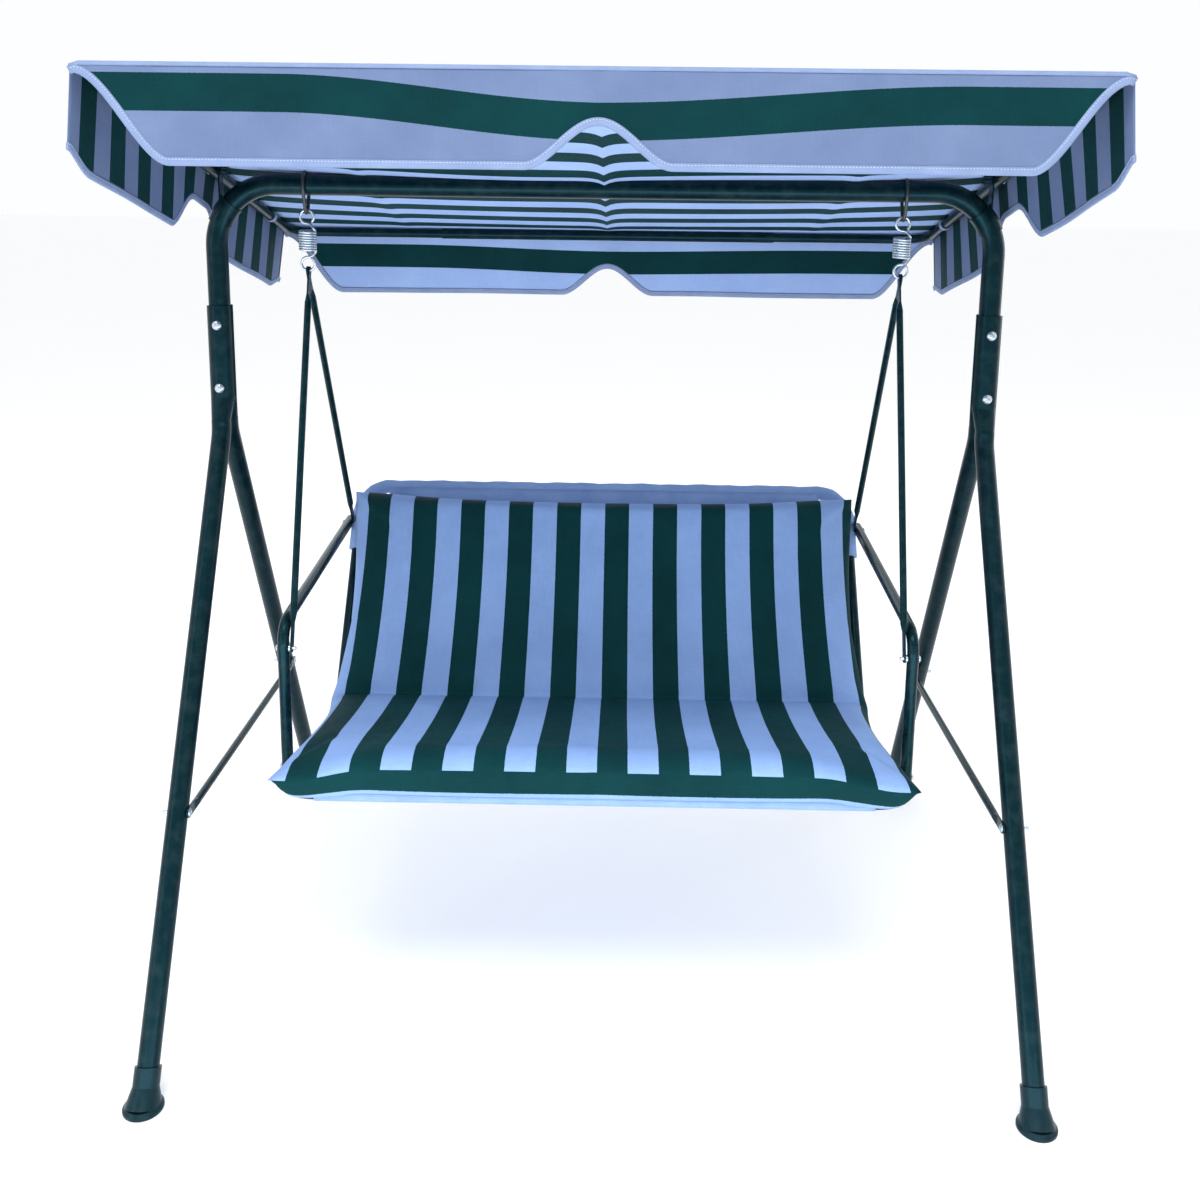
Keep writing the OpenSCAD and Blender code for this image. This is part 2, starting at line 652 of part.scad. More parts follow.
// Lobed hand knobs that lock the tilt
module tilt_knobs() color(cap_black) tilted()
    for (s = [0, 1]) mirror([s, 0, 0])
        translate([plate_x - plate_t / 2 - 0.5, 0, 0]) rotate([0, -90, 0]) difference() {
            union() {
                cylinder(d = 13, h = 13);
                for (a = [0 : 60 : 300]) rotate([0, 0, a]) translate([6.5, 0, 3]) cylinder(d = 6, h = 9);
            }
            translate([0, 0, -1]) cylinder(d = small_bolt_d, h = 9.5);
        }

module canopy_roof() color(cloth_light) tilted()
    translate([-roof_w / 2, -roof_len / 2, roof_low]) cube([roof_w, roof_len, cloth_t]);

// Depth of an end valance at a share t of its half width, from the notch at 0 to the corner at 1
function end_depth(t) = let (x = abs(t) * valance_x)
    notch_h + (valance_h - notch_h) * ease(x / 100) - (valance_h - 14) * ease((x - valance_x + 125) / 125);

// Depth of a side valance in the same way: its corners stay deep
function side_depth(t) = let (y = abs(t) * valance_y)
    notch_h - 10 + (valance_h - notch_h + 10) * ease((y - 30) / 110) - 24 * ease((y - valance_y + 90) / 90);

steps = 44;
shares = [for (i = [0 : steps]) -1 + 2 * i / steps];

// Height of the roof's underside at a distance y behind the pivots
function roof_edge(y) = canopy_z + (roof_low * cos(canopy_tilt)) - y * tan(canopy_tilt);

// An end valance hangs straight down from the roof's front or rear edge
module end_valance(way) {
    edge_y = way * valance_y * cos(canopy_tilt) + roof_low * sin(canopy_tilt);
    edge_z = canopy_z - way * valance_y * sin(canopy_tilt) + roof_low * cos(canopy_tilt)
        - cloth_t / 2 * tan(canopy_tilt) - fit;
    outline = concat(
        [[-valance_x + fit, edge_z], [valance_x - fit, edge_z]],
        [for (i = [steps : -1 : 0]) [shares[i] * (valance_x - fit), edge_z - end_depth(shares[i])]]
    );
    translate([0, edge_y + cloth_t / 2, 0]) upright() linear_extrude(cloth_t) polygon(outline);
}
module valance_front() color(cloth_green) end_valance(-1);
module valance_rear() color(cloth_green) end_valance(1);

// A side valance hangs straight down beside the rail
module valance_right() color(cloth_green) {
    reach = valance_y * cos(canopy_tilt) - cloth_t;
    mid_y = roof_low * sin(canopy_tilt);
    outline = concat(
        [for (t = [-1, 1]) [mid_y + t * reach, roof_edge(t * reach) - 1]],
        [for (i = [steps : -1 : 0])
            [mid_y + shares[i] * reach, roof_edge(shares[i] * reach) - 1 - side_depth(shares[i])]]
    );
    at_side(valance_x) linear_extrude(cloth_t) polygon(outline);
}
module valance_left() mirror([1, 0, 0]) valance_right();

top_bar();
front_leg_left();
front_leg_right();
rear_leg_left();
rear_leg_right();
foot_front_left();
foot_front_right();
foot_rear_left();
foot_rear_right();
leg_bolts();
leg_nuts();
side_brace_left();
side_brace_right();
brace_bolts();
canopy_bracket_left();
canopy_bracket_right();
hanger_loop_left();
hanger_loop_right();
spring_left();
spring_right();
spring_hook_left();
spring_hook_right();
front_rod_left();
front_rod_right();
rear_rod_left();
rear_rod_right();
armrest_left();
armrest_right();
armrest_plugs();
arm_bolts();
arm_spacers();
seat_side_left();
seat_side_right();
seat_front_rail();
back_frame();
frame_spigots();
seat_cross_tubes();
back_cross_tube();
sling();
seat_cushion();
back_cushion();
canopy_rail_left();
canopy_rail_right();
canopy_front_tube();
canopy_rear_tube();
canopy_ties();
tilt_bolts();
tilt_knobs();
canopy_roof();
valance_front();
valance_rear();
valance_left();
valance_right();
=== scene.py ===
# %% [markdown]
# # A garden swing seat under a striped canopy
# A bent steel tube stands on four splayed legs. A padded seat for two hangs from it on
# two springs and four flat-ended rods, and a canopy of the same striped cloth tilts on
# the tube's shoulders. The hard parts arrive as a fixed frame of CAD parts. This lesson
# gives them their finishes and makes everything that cloth, wire or a screw maker would
# make: the cushion, the sling under it, the canopy with its scalloped flaps, the
# springs, the straps and the screw heads.

import json
import math

import bmesh
import bpy
import numpy as np
from mathutils import Matrix, Vector


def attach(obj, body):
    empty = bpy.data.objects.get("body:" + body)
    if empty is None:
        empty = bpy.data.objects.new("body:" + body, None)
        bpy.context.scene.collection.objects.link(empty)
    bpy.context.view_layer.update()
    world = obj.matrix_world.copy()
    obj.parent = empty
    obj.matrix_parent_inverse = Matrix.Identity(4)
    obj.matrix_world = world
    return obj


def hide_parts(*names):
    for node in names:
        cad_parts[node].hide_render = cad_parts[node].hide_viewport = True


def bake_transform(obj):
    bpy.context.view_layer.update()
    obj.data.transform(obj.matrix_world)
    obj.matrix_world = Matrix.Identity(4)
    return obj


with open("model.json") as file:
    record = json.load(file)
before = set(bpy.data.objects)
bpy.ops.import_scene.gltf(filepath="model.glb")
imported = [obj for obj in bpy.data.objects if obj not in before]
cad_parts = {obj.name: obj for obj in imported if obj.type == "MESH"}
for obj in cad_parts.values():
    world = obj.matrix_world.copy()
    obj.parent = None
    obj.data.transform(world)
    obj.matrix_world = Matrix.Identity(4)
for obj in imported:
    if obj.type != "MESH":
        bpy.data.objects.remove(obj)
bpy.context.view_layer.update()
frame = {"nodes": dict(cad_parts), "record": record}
scene = bpy.context.scene

# %% [markdown]
# ## The few sizes that everything here shares
# The seat is a bent L seen from the side: it rises a little to the front and leans back
# above its crease. The canopy lies in its own tilted plane. Two small functions carry
# points from those planes into the room, so that every soft piece can be drawn flat, as
# it was cut, and then put where the frame holds it.

# %% The seat's line and the canopy's plane
STRIPE = 0.05                                   # width of one woven stripe
THREAD = 0.0016                                 # from one thread of its weave to the next
SEAT_RISE, BACK_LEAN = math.radians(10), math.radians(35)
CREASE = Vector((0, 0.040, 0.440))              # the crease on the cushion's upper side
SEAT_LONG, BACK_LONG = 0.410, 0.426             # the cushion before and above its crease
seat_way = Vector((0, -math.cos(SEAT_RISE), math.sin(SEAT_RISE)))
seat_up = Vector((0, math.sin(SEAT_RISE), math.cos(SEAT_RISE)))
back_way = Vector((0, math.sin(BACK_LEAN), math.cos(BACK_LEAN)))
back_up = Vector((0, -math.cos(BACK_LEAN), math.sin(BACK_LEAN)))
fold_way = (seat_up + back_up) / (1 + seat_up.dot(back_up))

CANOPY_TILT = math.radians(14.5)
PIVOT_Z = 1.432
SIDE_X = 0.69                                   # the side frames, from the middle
tilt = Matrix.Translation((0, 0, PIVOT_Z)) @ Matrix.Rotation(-CANOPY_TILT, 4, "X")


def ease(t):
    """Goes smoothly from 0 to 1 as t does."""
    t = np.clip(t, 0, 1)
    return t * t * (3 - 2 * t)


# %% [markdown]
# ## Camera, floor and light
# The swing is seen from just in front of it, at the height of its top bar, with a wide
# view that looks down a little. The legs nearest the viewer spread towards the corners.
# A white room and broad, soft lights stand in for an open sky: one above the seat, one
# low in front that reaches under the canopy, and a cool one behind. Two narrow strips
# draw a thin bright line along each tube.

# %% Place the camera
CAMERA_AT = (0.0371, -2.1836, 1.4237)
CAMERA_YAW, CAMERA_PITCH, CAMERA_ROLL = 0.7865, -10.5282, 0.6932
CAMERA_LENS_SHARE = 1.01763                     # focal length over sensor width
CAMERA_SHIFT = (-0.0048, -0.1607)

camera = bpy.data.objects.new("camera", bpy.data.cameras.new("camera"))
scene.collection.objects.link(camera)
camera.data.sensor_width = 36
camera.data.lens = 36 * CAMERA_LENS_SHARE
camera.data.shift_x, camera.data.shift_y = CAMERA_SHIFT
camera.location = CAMERA_AT
camera.rotation_euler = (
    Matrix.Rotation(math.radians(CAMERA_YAW), 3, "Z")
    @ Matrix.Rotation(math.radians(90 + CAMERA_PITCH), 3, "X")
    @ Matrix.Rotation(math.radians(CAMERA_ROLL), 3, "Z")
).to_euler()
scene.camera = camera
print("camera", [round(v, 3) for v in camera.location], "lens", round(camera.data.lens, 1), "mm")


# %% Lay the floor and hang the lights
def soft_light(name, at, aim, size, power, colour):
    """A broad area light at a point, turned to face another."""
    lamp = bpy.data.lights.new(name, "AREA")
    lamp.shape, lamp.size, lamp.size_y = "RECTANGLE", size[0], size[1]
    lamp.energy, lamp.color = power, colour
    holder = bpy.data.objects.new(name, lamp)
    scene.collection.objects.link(holder)
    holder.location = at
    holder.rotation_euler = (Vector(aim) - Vector(at)).to_track_quat("-Z", "Y").to_euler()
    return holder


soft_light("light_above", (-0.3, -2.0, 4.2), (0, -0.2, 0.5), (3.0, 1.6), 105, (0.93, 0.96, 1.0))
soft_light("light_below", (0, -1.5, 0.12), (0, 0.25, 1.35), (3.2, 0.9), 42, (0.95, 0.97, 1.0))
soft_light("light_behind", (-1.4, 4.0, 2.2), (0, 0, 0.9), (5.0, 2.4), 40, (0.86, 0.93, 1.0))
soft_light("strip_left", (-3.2, -2.4, 1.7), (0, 0, 0.8), (0.12, 2.6), 20, (0.92, 0.96, 1.0))
soft_light("strip_right", (3.2, 1.2, 1.7), (0, 0, 0.8), (0.12, 2.6), 16, (0.92, 0.96, 1.0))

world = bpy.data.worlds.new("pale_room")
world.use_nodes = True
world.node_tree.nodes["Background"].inputs["Color"].default_value = (0.985, 0.992, 1.0, 1)
world.node_tree.nodes["Background"].inputs["Strength"].default_value = 1.0
scene.world = world
scene.view_settings.view_transform = "Standard"

FLOOR = 40                                      # half the floor's width, past the horizon
floor_mesh = bpy.data.meshes.new("floor")
floor_mesh.from_pydata([(-FLOOR, -FLOOR, 0), (FLOOR, -FLOOR, 0), (FLOOR, FLOOR, 0), (-FLOOR, FLOOR, 0)],
                       [], [(0, 1, 2, 3)])
floor = bpy.data.objects.new("floor", floor_mesh)
scene.collection.objects.link(floor)

# %% [markdown]
# ## Finishes
# A material here is a small tree of nodes with one Principled shader at its end. The
# helper below makes the tree and its shader, and `add` puts in one node and wires it up,
# so that each recipe reads as a list of what the finish is made of. Every recipe starts
# from the piece's own coordinates: object coordinates in metres on hard parts, and the
# flat-cut coordinates of the cloth, also in metres, on soft ones.


# %% A helper for building materials
class Recipe:
    """A material being built: its node tree, its shader, and a short way to add nodes."""

    def __init__(self, name):
        self.material = bpy.data.materials.new(name)
        self.material.use_nodes = True
        self.tree = self.material.node_tree
        self.tree.nodes.clear()
        self.shader = self.tree.nodes.new("ShaderNodeBsdfPrincipled")
        output = self.tree.nodes.new("ShaderNodeOutputMaterial")
        self.tree.links.new(self.shader.outputs["BSDF"], output.inputs["Surface"])

    def add(self, kind, settings=None, **sockets):
        """One node; a socket's value is a number, a colour or another node's output."""
        node = self.tree.nodes.new("ShaderNode" + kind)
        for key, value in (settings or {}).items():
            setattr(node, key, value)
        for key, value in sockets.items():
            index = int(key[1:]) if key[0] == "i" and key[1:].isdigit() else key.replace("_", " ")
            socket = node.inputs[index]
            if isinstance(value, bpy.types.NodeSocket):
                self.tree.links.new(value, socket)
            else:
                socket.default_value = value
        return node

    def maths(self, operation, a, b=0.0, clamp=False):
        return self.add("Math", {"operation": operation, "use_clamp": clamp}, i0=a, i1=b).outputs[0]

    def blend(self, share, a, b, how="MIX"):
        node = self.add("Mix", {"data_type": "RGBA", "blend_type": how}, i0=share)
        for index, value in ((6, a), (7, b)):
            if isinstance(value, bpy.types.NodeSocket):
                self.tree.links.new(value, node.inputs[index])
            else:
                node.inputs[index].default_value = value
        return node.outputs[2]

    def band(self, value, low, high, a=0.0, b=1.0):
        """A value spread from low..high over a..b."""
        node = self.add("MapRange", Value=value)
        for key, number in (("From Min", low), ("From Max", high), ("To Min", a), ("To Max", b)):
            node.inputs[key].default_value = number
        return node.outputs[0]

    def noise(self, where, scale, detail=3.0, rough=0.55):
        node = self.add("TexNoise", Scale=scale, Detail=detail, Roughness=rough)
        self.tree.links.new(where, node.inputs["Vector"])
        return node.outputs["Fac"]

    def stretched(self, where, scale):
        """The same coordinates, stretched, for grain that runs one way."""
        node = self.add("Mapping")
        self.tree.links.new(where, node.inputs["Vector"])
        node.inputs["Scale"].default_value = scale
        return node.outputs[0]

    def bump(self, height, depth, strength=1.0, onto=None):
        node = self.add("Bump", Height=height, Distance=depth, Strength=strength)
        if onto is not None:
            self.tree.links.new(onto, node.inputs["Normal"])
        return node.outputs[0]

    def finish(self, **sockets):
        for key, value in sockets.items():
            socket = self.shader.inputs[key.replace("_", " ")]
            if isinstance(value, bpy.types.NodeSocket):
                self.tree.links.new(value, socket)
            else:
                socket.default_value = value
        return self.material


print("recipe helper ready")

# %% [markdown]
# ### Dark green enamel on the tubes
# The tubes are sprayed with a very dark blue-green enamel and baked. Close up it has a
# faint orange-peel ripple, a little haze where it was wiped, and a few dusty specks. A
# coat over a rough base gives the double shine of baked enamel: a sharp streak from the
# sky inside a soft one.


# %% Enamel, and the lighter one on the thin tubes
def enamel(name, dark, light, roughness):
    r = Recipe(name)
    place = r.add("TexCoord").outputs["Object"]
    drift = r.noise(place, 3.5, 2)
    grime = r.noise(place, 45, 5, 0.65)
    specks = r.band(r.noise(place, 420, 2), 0.70, 0.80)
    colour = r.blend(drift, dark, light)
    colour = r.blend(r.band(grime, 0.45, 0.8, 0, 0.35), colour, (0.030, 0.050, 0.050, 1))
    colour = r.blend(r.maths("MULTIPLY", specks, 0.30), colour, (0.10, 0.12, 0.12, 1))
    peel = r.bump(r.noise(place, 380, 1.5), 0.00012, 0.55)
    normal = r.bump(grime, 0.0002, 0.3, peel)
    return r.finish(
        Base_Color=colour,
        Roughness=r.band(grime, 0.3, 0.75, roughness, roughness + 0.14),
        Specular_IOR_Level=0.22,
        Specular_Tint=(0.12, 0.66, 0.92, 1),
        Coat_Weight=0.06,
        Coat_Roughness=0.08,
        Normal=normal,
    )


green_enamel = enamel("green_enamel", (0.0004, 0.0048, 0.0066, 1), (0.0009, 0.0085, 0.0108, 1), 0.28)
thin_tube_enamel = enamel("thin_tube_enamel", (0.0006, 0.0060, 0.0080, 1), (0.0014, 0.0120, 0.0150, 1), 0.22)

# %% [markdown]
# ### Zinc, black wire and moulded plastic
# The screws, nuts and springs are plated with zinc: a bluish white metal with a fine
# mottle where the bath left it uneven. The loops over the bar are black dipped wire, and
# the feet and knobs are moulded plastic with a fine spark-eroded grain, scuffed a little
# paler low down, where a foot meets the ground.


# %% Zinc plate
def zinc_plate():
    r = Recipe("zinc_plate")
    place = r.add("TexCoord").outputs["Object"]
    mottle = r.noise(place, 320, 5, 0.7)
    flecks = r.add("TexVoronoi", {"feature": "F1"}, Scale=900.0)
    r.tree.links.new(place, flecks.inputs["Vector"])
    colour = r.blend(mottle, (0.34, 0.41, 0.48, 1), (0.66, 0.72, 0.78, 1))
    colour = r.blend(r.band(mottle, 0.62, 0.78, 0, 0.5), colour, (0.18, 0.20, 0.21, 1))
    return r.finish(
        Base_Color=colour,
        Metallic=0.92,
        Roughness=r.band(mottle, 0.3, 0.8, 0.22, 0.46),
        Normal=r.bump(flecks.outputs["Distance"], 0.00005, 0.5),
    )


zinc_plate = zinc_plate()


# %% Black wire and plastic
def black_wire():
    r = Recipe("black_wire")
    place = r.add("TexCoord").outputs["Object"]
    wear = r.noise(place, 240, 4, 0.6)
    colour = r.blend(wear, (0.004, 0.009, 0.011, 1), (0.016, 0.026, 0.030, 1))
    return r.finish(Base_Color=colour, Roughness=r.band(wear, 0.3, 0.8, 0.32, 0.52),
                    Normal=r.bump(wear, 0.0001, 0.5))


def moulded_plastic():
    r = Recipe("moulded_plastic")
    place = r.add("TexCoord").outputs["Object"]
    grain = r.noise(place, 1500, 2)
    scuff = r.noise(place, 90, 5, 0.7)
    low = r.band(r.add("SeparateXYZ", Vector=place).outputs["Z"], 0.0, 0.03, 1, 0)
    share = r.maths("MULTIPLY", low, r.band(scuff, 0.42, 0.7), clamp=True)
    colour = r.blend(scuff, (0.0030, 0.0095, 0.0125, 1), (0.0075, 0.0200, 0.0240, 1))
    colour = r.blend(r.maths("MULTIPLY", share, 0.3), colour, (0.030, 0.042, 0.046, 1))
    return r.finish(Base_Color=colour, Roughness=r.band(scuff, 0.3, 0.75, 0.26, 0.46),
                    Specular_IOR_Level=0.25, Specular_Tint=(0.30, 0.75, 1.0, 1),
                    Normal=r.bump(grain, 0.00006, 0.4, r.bump(scuff, 0.0002, 0.25)))


black_wire, moulded_plastic = black_wire(), moulded_plastic()
hard = (green_enamel, thin_tube_enamel, zinc_plate, black_wire, moulded_plastic)
print("hard finishes:", [m.name for m in hard])

# %% [markdown]
# ### Striped cloth
# Cushion and canopy are cut from one woven polyester, green and a cool white in stripes
# of 50 mm. Each cloth piece carries a UV map in metres: U runs across the stripes and V
# along them. Whole stripes are counted from U, so a stripe's edge stays a woven thread
# line however the cloth bends. Two fine waves cross as warp and weft, slubs of noise run
# along the threads, and long soft creases come from a noise that is much coarser. The
# recipe is used three times: for the cushion; for the roof and rear flap, whose whites
# are made brighter as painted light coming through the cloth; and for the front and side
# flaps, whose whites are made darker as painted shade.


# %% The striped cloth, and its plain white trim
def striped_cloth(name, green, white, shift, crease_depth):
    r = Recipe(name)
    cut = r.add("UVMap", {"uv_map": "cut"}).outputs["UV"]
    axes = r.add("SeparateXYZ", Vector=cut)
    across, along = axes.outputs["X"], axes.outputs["Y"]
    fray = r.maths("MULTIPLY", r.maths("SUBTRACT", r.noise(cut, 260, 2), 0.5), 0.0012)
    turn = r.maths("DIVIDE", r.maths("ADD", r.maths("ADD", across, shift), fray), 2 * STRIPE)
    part = r.maths("FRACT", turn)
    is_green = r.band(r.maths("PINGPONG", r.maths("SUBTRACT", part, 0.25), 0.5), 0.2485, 0.2515, 1, 0)
    fade = r.noise(cut, 6, 3, 0.6)
    slub_across = r.noise(r.stretched(cut, (40, 900, 1)), 1, 2)
    slub_along = r.noise(r.stretched(cut, (900, 40, 1)), 1, 2)
    slub = r.maths("ADD", slub_across, slub_along)
    green_now = r.blend(r.band(fade, 0.3, 0.7), green[0], green[1])
    white_now = r.blend(r.band(fade, 0.3, 0.7), white[0], white[1])
    colour = r.blend(is_green, white_now, green_now)
    colour = r.blend(r.band(slub, 0.8, 1.25, 0.10, 0.0), colour, (0.02, 0.04, 0.07, 1))
    warp = r.maths("SINE", r.maths("MULTIPLY", across, 2 * math.pi / THREAD))
    weft = r.maths("SINE", r.maths("MULTIPLY", along, 2 * math.pi / THREAD))
    weave = r.bump(r.maths("MULTIPLY", warp, weft), 0.00012, 0.35)
    threads = r.bump(slub, 0.0003, 0.30, weave)
    soft = r.noise(r.stretched(cut, (9, 3.2, 1)), 1, 4, 0.6)
    small = r.noise(r.stretched(cut, (22, 48, 1)), 1, 3, 0.5)
    creases = r.bump(soft, crease_depth, 0.7, r.bump(small, crease_depth * 0.22, 0.5, threads))
    return r.finish(
        Base_Color=colour,
        Roughness=r.band(slub, 0.7, 1.3, 0.66, 0.82),
        Specular_IOR_Level=0.10,
        Specular_Tint=(0.55, 0.85, 1.0, 1),
        Normal=creases,
    )


GREENS = ((0.0004, 0.021, 0.023, 1), (0.0008, 0.034, 0.036, 1))
WHITES = ((0.200, 0.320, 0.600, 1), (0.240, 0.375, 0.680, 1))
# painted light: the roof's whites are brighter than the cushion's, standing in for daylight coming through
# the cloth
ROOF_WHITES_PAINTED_LIGHT = ((0.28, 0.40, 0.70, 1), (0.33, 0.46, 0.76, 1))
# painted shade: the flaps' whites are darker than the cushion's, standing in for shade on the hanging flaps
FLAP_WHITES_PAINTED_SHADE = ((0.115, 0.160, 0.285, 1), (0.150, 0.200, 0.335, 1))
cushion_cloth = striped_cloth("cushion_cloth", GREENS, WHITES, 0.495, 0.010)
# canopy_cloth, on the roof and the rear flap, carries the painted light of the brighter whites
canopy_cloth = striped_cloth("canopy_cloth", GREENS, ROOF_WHITES_PAINTED_LIGHT, 0.0, 0.006)
# painted shade: this copy of the cloth, with the darker whites, goes on the front and side flaps
flap_cloth_painted_shade = striped_cloth("flap_cloth_painted_shade", GREENS, FLAP_WHITES_PAINTED_SHADE, 0.0, 0.007)


def plain_cloth(name, low, high, pitch, depth):
    r = Recipe(name)
    cut = r.add("UVMap", {"uv_map": "cut"}).outputs["UV"]
    axes = r.add("SeparateXYZ", Vector=cut)
    warp = r.maths("SINE", r.maths("MULTIPLY", axes.outputs["X"], 2 * math.pi / pitch))
    weft = r.maths("SINE", r.maths("MULTIPLY", axes.outputs["Y"], 2 * math.pi / pitch))
    fade = r.noise(cut, 18, 4, 0.6)
    colour = r.blend(r.band(fade, 0.3, 0.7), low, high)
    shade = r.band(r.maths("MULTIPLY", warp, weft), -1, 1, 0.12, 0)
    colour = r.blend(shade, colour, (0.05, 0.07, 0.12, 1))
    return r.finish(Base_Color=colour, Roughness=r.band(fade, 0.2, 0.8, 0.62, 0.8), Specular_IOR_Level=0.12,
                    Normal=r.bump(r.maths("MULTIPLY", warp, weft), depth, 0.5,
                                  r.bump(fade, 0.002, 0.5)))


binding_tape = plain_cloth("binding_tape", (0.19, 0.26, 0.42, 1), (0.24, 0.31, 0.49, 1), 0.0018, 0.0002)
sling_weave = plain_cloth("sling_weave", (0.20, 0.32, 0.60, 1), (0.26, 0.39, 0.68, 1), 0.0026, 0.0004)


def thread():
    r = Recipe("sewing_thread")
    place = r.add("TexCoord").outputs["Object"]
    twist = r.noise(place, 700, 2)
    return r.finish(Base_Color=r.blend(twist, (0.34, 0.40, 0.58, 1), (0.62, 0.68, 0.86, 1)),
                    Roughness=0.6, Normal=r.bump(twist, 0.0001, 0.4))


def floor_paint():
    r = Recipe("pale_floor")
    place = r.add("TexCoord").outputs["Object"]
    drift = r.noise(place, 1.2, 3)
    return r.finish(Base_Color=r.blend(drift, (0.955, 0.960, 0.970, 1), (0.970, 0.975, 0.980, 1)),
                    Roughness=r.band(drift, 0.3, 0.7, 0.55, 0.7))


sewing_thread = thread()
floor.data.materials.append(floor_paint())
print("cloths:", [m.name for m in (cushion_cloth, canopy_cloth, flap_cloth_painted_shade, binding_tape, sling_weave)])

# %% [markdown]
# ## The CAD parts keep their shapes
# Tubes, feet, washers and nuts are already right, so they only get a finish. A part's
# own material slots are filled; its mesh is never touched.

# %% Give every CAD part its finish
FINISH_BY_SLOT = {
    "green_enamel": green_enamel, "zinc": zinc_plate, "black_wire": black_wire,
    "black_plastic": moulded_plastic, "cushion_cloth": cushion_cloth,
    "canopy_cloth": canopy_cloth, "sling_cloth": sling_weave,
}
slot_of_node = {s["node"]: s["material_slot"] for s in frame["record"]["subparts"]}
for name, part in frame["nodes"].items():
    finish = FINISH_BY_SLOT[slot_of_node[name]]
    if finish is green_enamel and ("rod" in name or "brace" in name or "armrest" in name):
        finish = thin_tube_enamel
    for index in range(max(1, len(part.data.materials))):
        if len(part.data.materials) <= index:
            part.data.materials.append(finish)
        part.data.materials[index] = finish
print("finished", len(frame["nodes"]), "parts")


# %% A way to turn lists of points into a piece
def piece_from(name, points, faces, finish, smooth=True):
    """A mesh object at the origin with its place in its mesh."""
    mesh = bpy.data.meshes.new(name)
    mesh.from_pydata([tuple(p) for p in points], [], [tuple(f) for f in faces])
    mesh.materials.append(finish)
    mesh.polygons.foreach_set("use_smooth", [smooth] * len(mesh.polygons))
    mesh.update()
    piece = bpy.data.objects.new(name, mesh)
    scene.collection.objects.link(piece)
    return piece


def set_cut(piece, corners):
    """Writes the flat-cut coordinates, one pair for each corner of each face."""
    layer = piece.data.uv_layers.new(name="cut")
    layer.data.foreach_set("uv", np.asarray(corners, np.float32).ravel())


def settled(piece):
    """The piece as a plain mesh, with its modifiers applied."""
    graph = bpy.context.evaluated_depsgraph_get()
    mesh = bpy.data.meshes.new_from_object(piece.evaluated_get(graph), preserve_all_data_layers=True,
                                           depsgraph=graph)
    piece.modifiers.clear()
    piece.data = mesh
    return piece


print("mesh helpers ready")

# %% [markdown]
# ## Screws with a cross in their heads
# Sixteen domed screws hold the legs, the braces, the armrests and the canopy. The real
# heads are pressed: a low dome with a cross-shaped recess and a thin rim. One head is
# made as a round grid whose height is the dome less the cross. It is a few hundred faces
# and needs no boolean cut. Geometry Nodes then set it, and a plain shank behind it, on a
# point for each screw, turned to that screw's own direction.

# %% One head and one shank, each one unit across
def screw_head():
    rings, spokes = 15, 40
    points, faces = [(0, 0, 0)], []
    for i in range(1, rings + 1):
        radius = 0.5 * (i / rings) ** 0.85
        for j in range(spokes):
            a = 2 * math.pi * j / spokes
            x, y = radius * math.cos(a), radius * math.sin(a)
            points.append((x, y, 0))
    shaped = []
    for x, y, _ in points:
        radius = math.hypot(x, y)
        dome = 0.27 * (1 - (radius / 0.5) ** 2.2) + 0.012
        arm = ease((0.062 - min(abs(x), abs(y))) / 0.03) * ease((0.27 - max(abs(x), abs(y))) / 0.05)
        shaped.append((x, y, dome - 0.15 * float(arm)))
    count = len(shaped)
    shaped += [(0.5 * math.cos(2 * math.pi * j / spokes), 0.5 * math.sin(2 * math.pi * j / spokes), -0.06)
               for j in range(spokes)]
    for j in range(spokes):
        k = (j + 1) % spokes
        faces.append((0, 1 + j, 1 + k))
        for i in range(rings - 1):
            a, b = 1 + i * spokes, 1 + (i + 1) * spokes
            faces.append((a + j, b + j, b + k, a + k))
        rim = 1 + (rings - 1) * spokes
        faces.append((rim + j, count + j, count + k, rim + k))
    faces.append([count + j for j in reversed(range(spokes))])
    return shaped, faces


def helper_object(name, points, faces, finish):
    """A mesh that only Geometry Nodes use: it is never linked to the scene."""
    mesh = bpy.data.meshes.new(name)
    mesh.from_pydata(points, [], faces)
    mesh.materials.append(finish)
    mesh.polygons.foreach_set("use_smooth", [True] * len(mesh.polygons))
    return bpy.data.objects.new(name, mesh)


head_shape = helper_object("screw_head_shape", *screw_head(), zinc_plate)
round_12 = [(0.5 * math.cos(2 * math.pi * j / 12), 0.5 * math.sin(2 * math.pi * j / 12)) for j in range(12)]
shank_shape = helper_object(
    "shank_shape",
    [(x, y, 0) for x, y in round_12] + [(x, y, -0.97) for x, y in round_12]
    + [(0.8 * x, 0.8 * y, -1) for x, y in round_12],
    [(j, j + 12, (j + 1) % 12 + 12, (j + 1) % 12) for j in range(12)]
    + [(j + 12, j + 24, (j + 1) % 12 + 24, (j + 1) % 12 + 12) for j in range(12)]
    + [tuple(range(12)), tuple(reversed(range(24, 36)))],
    zinc_plate,
)
print("head faces:", len(head_shape.data.polygons))


# %% [markdown]
# The tree reads three attributes on each point: which way the screw faces, how wide its
# head is, and how long and thick its shank is. Its input sockets scale the heads and
# choose the finish, and it ends in Realize Instances and Set Material.

# %% The screw tree
def node_tree(name, inputs):
    """An empty geometry tree with a geometry input and output, and named inputs."""
    tree = bpy.data.node_groups.new(name, "GeometryNodeTree")
    tree.interface.new_socket("Geometry", in_out="INPUT", socket_type="NodeSocketGeometry")
    for label, kind, value in inputs:
        socket = tree.interface.new_socket(label, in_out="INPUT", socket_type="NodeSocket" + kind)
        if value is not None:
            socket.default_value = value
    tree.interface.new_socket("Geometry", in_out="OUTPUT", socket_type="NodeSocketGeometry")
    return tree, tree.nodes.new("NodeGroupInput"), tree.nodes.new("NodeGroupOutput")


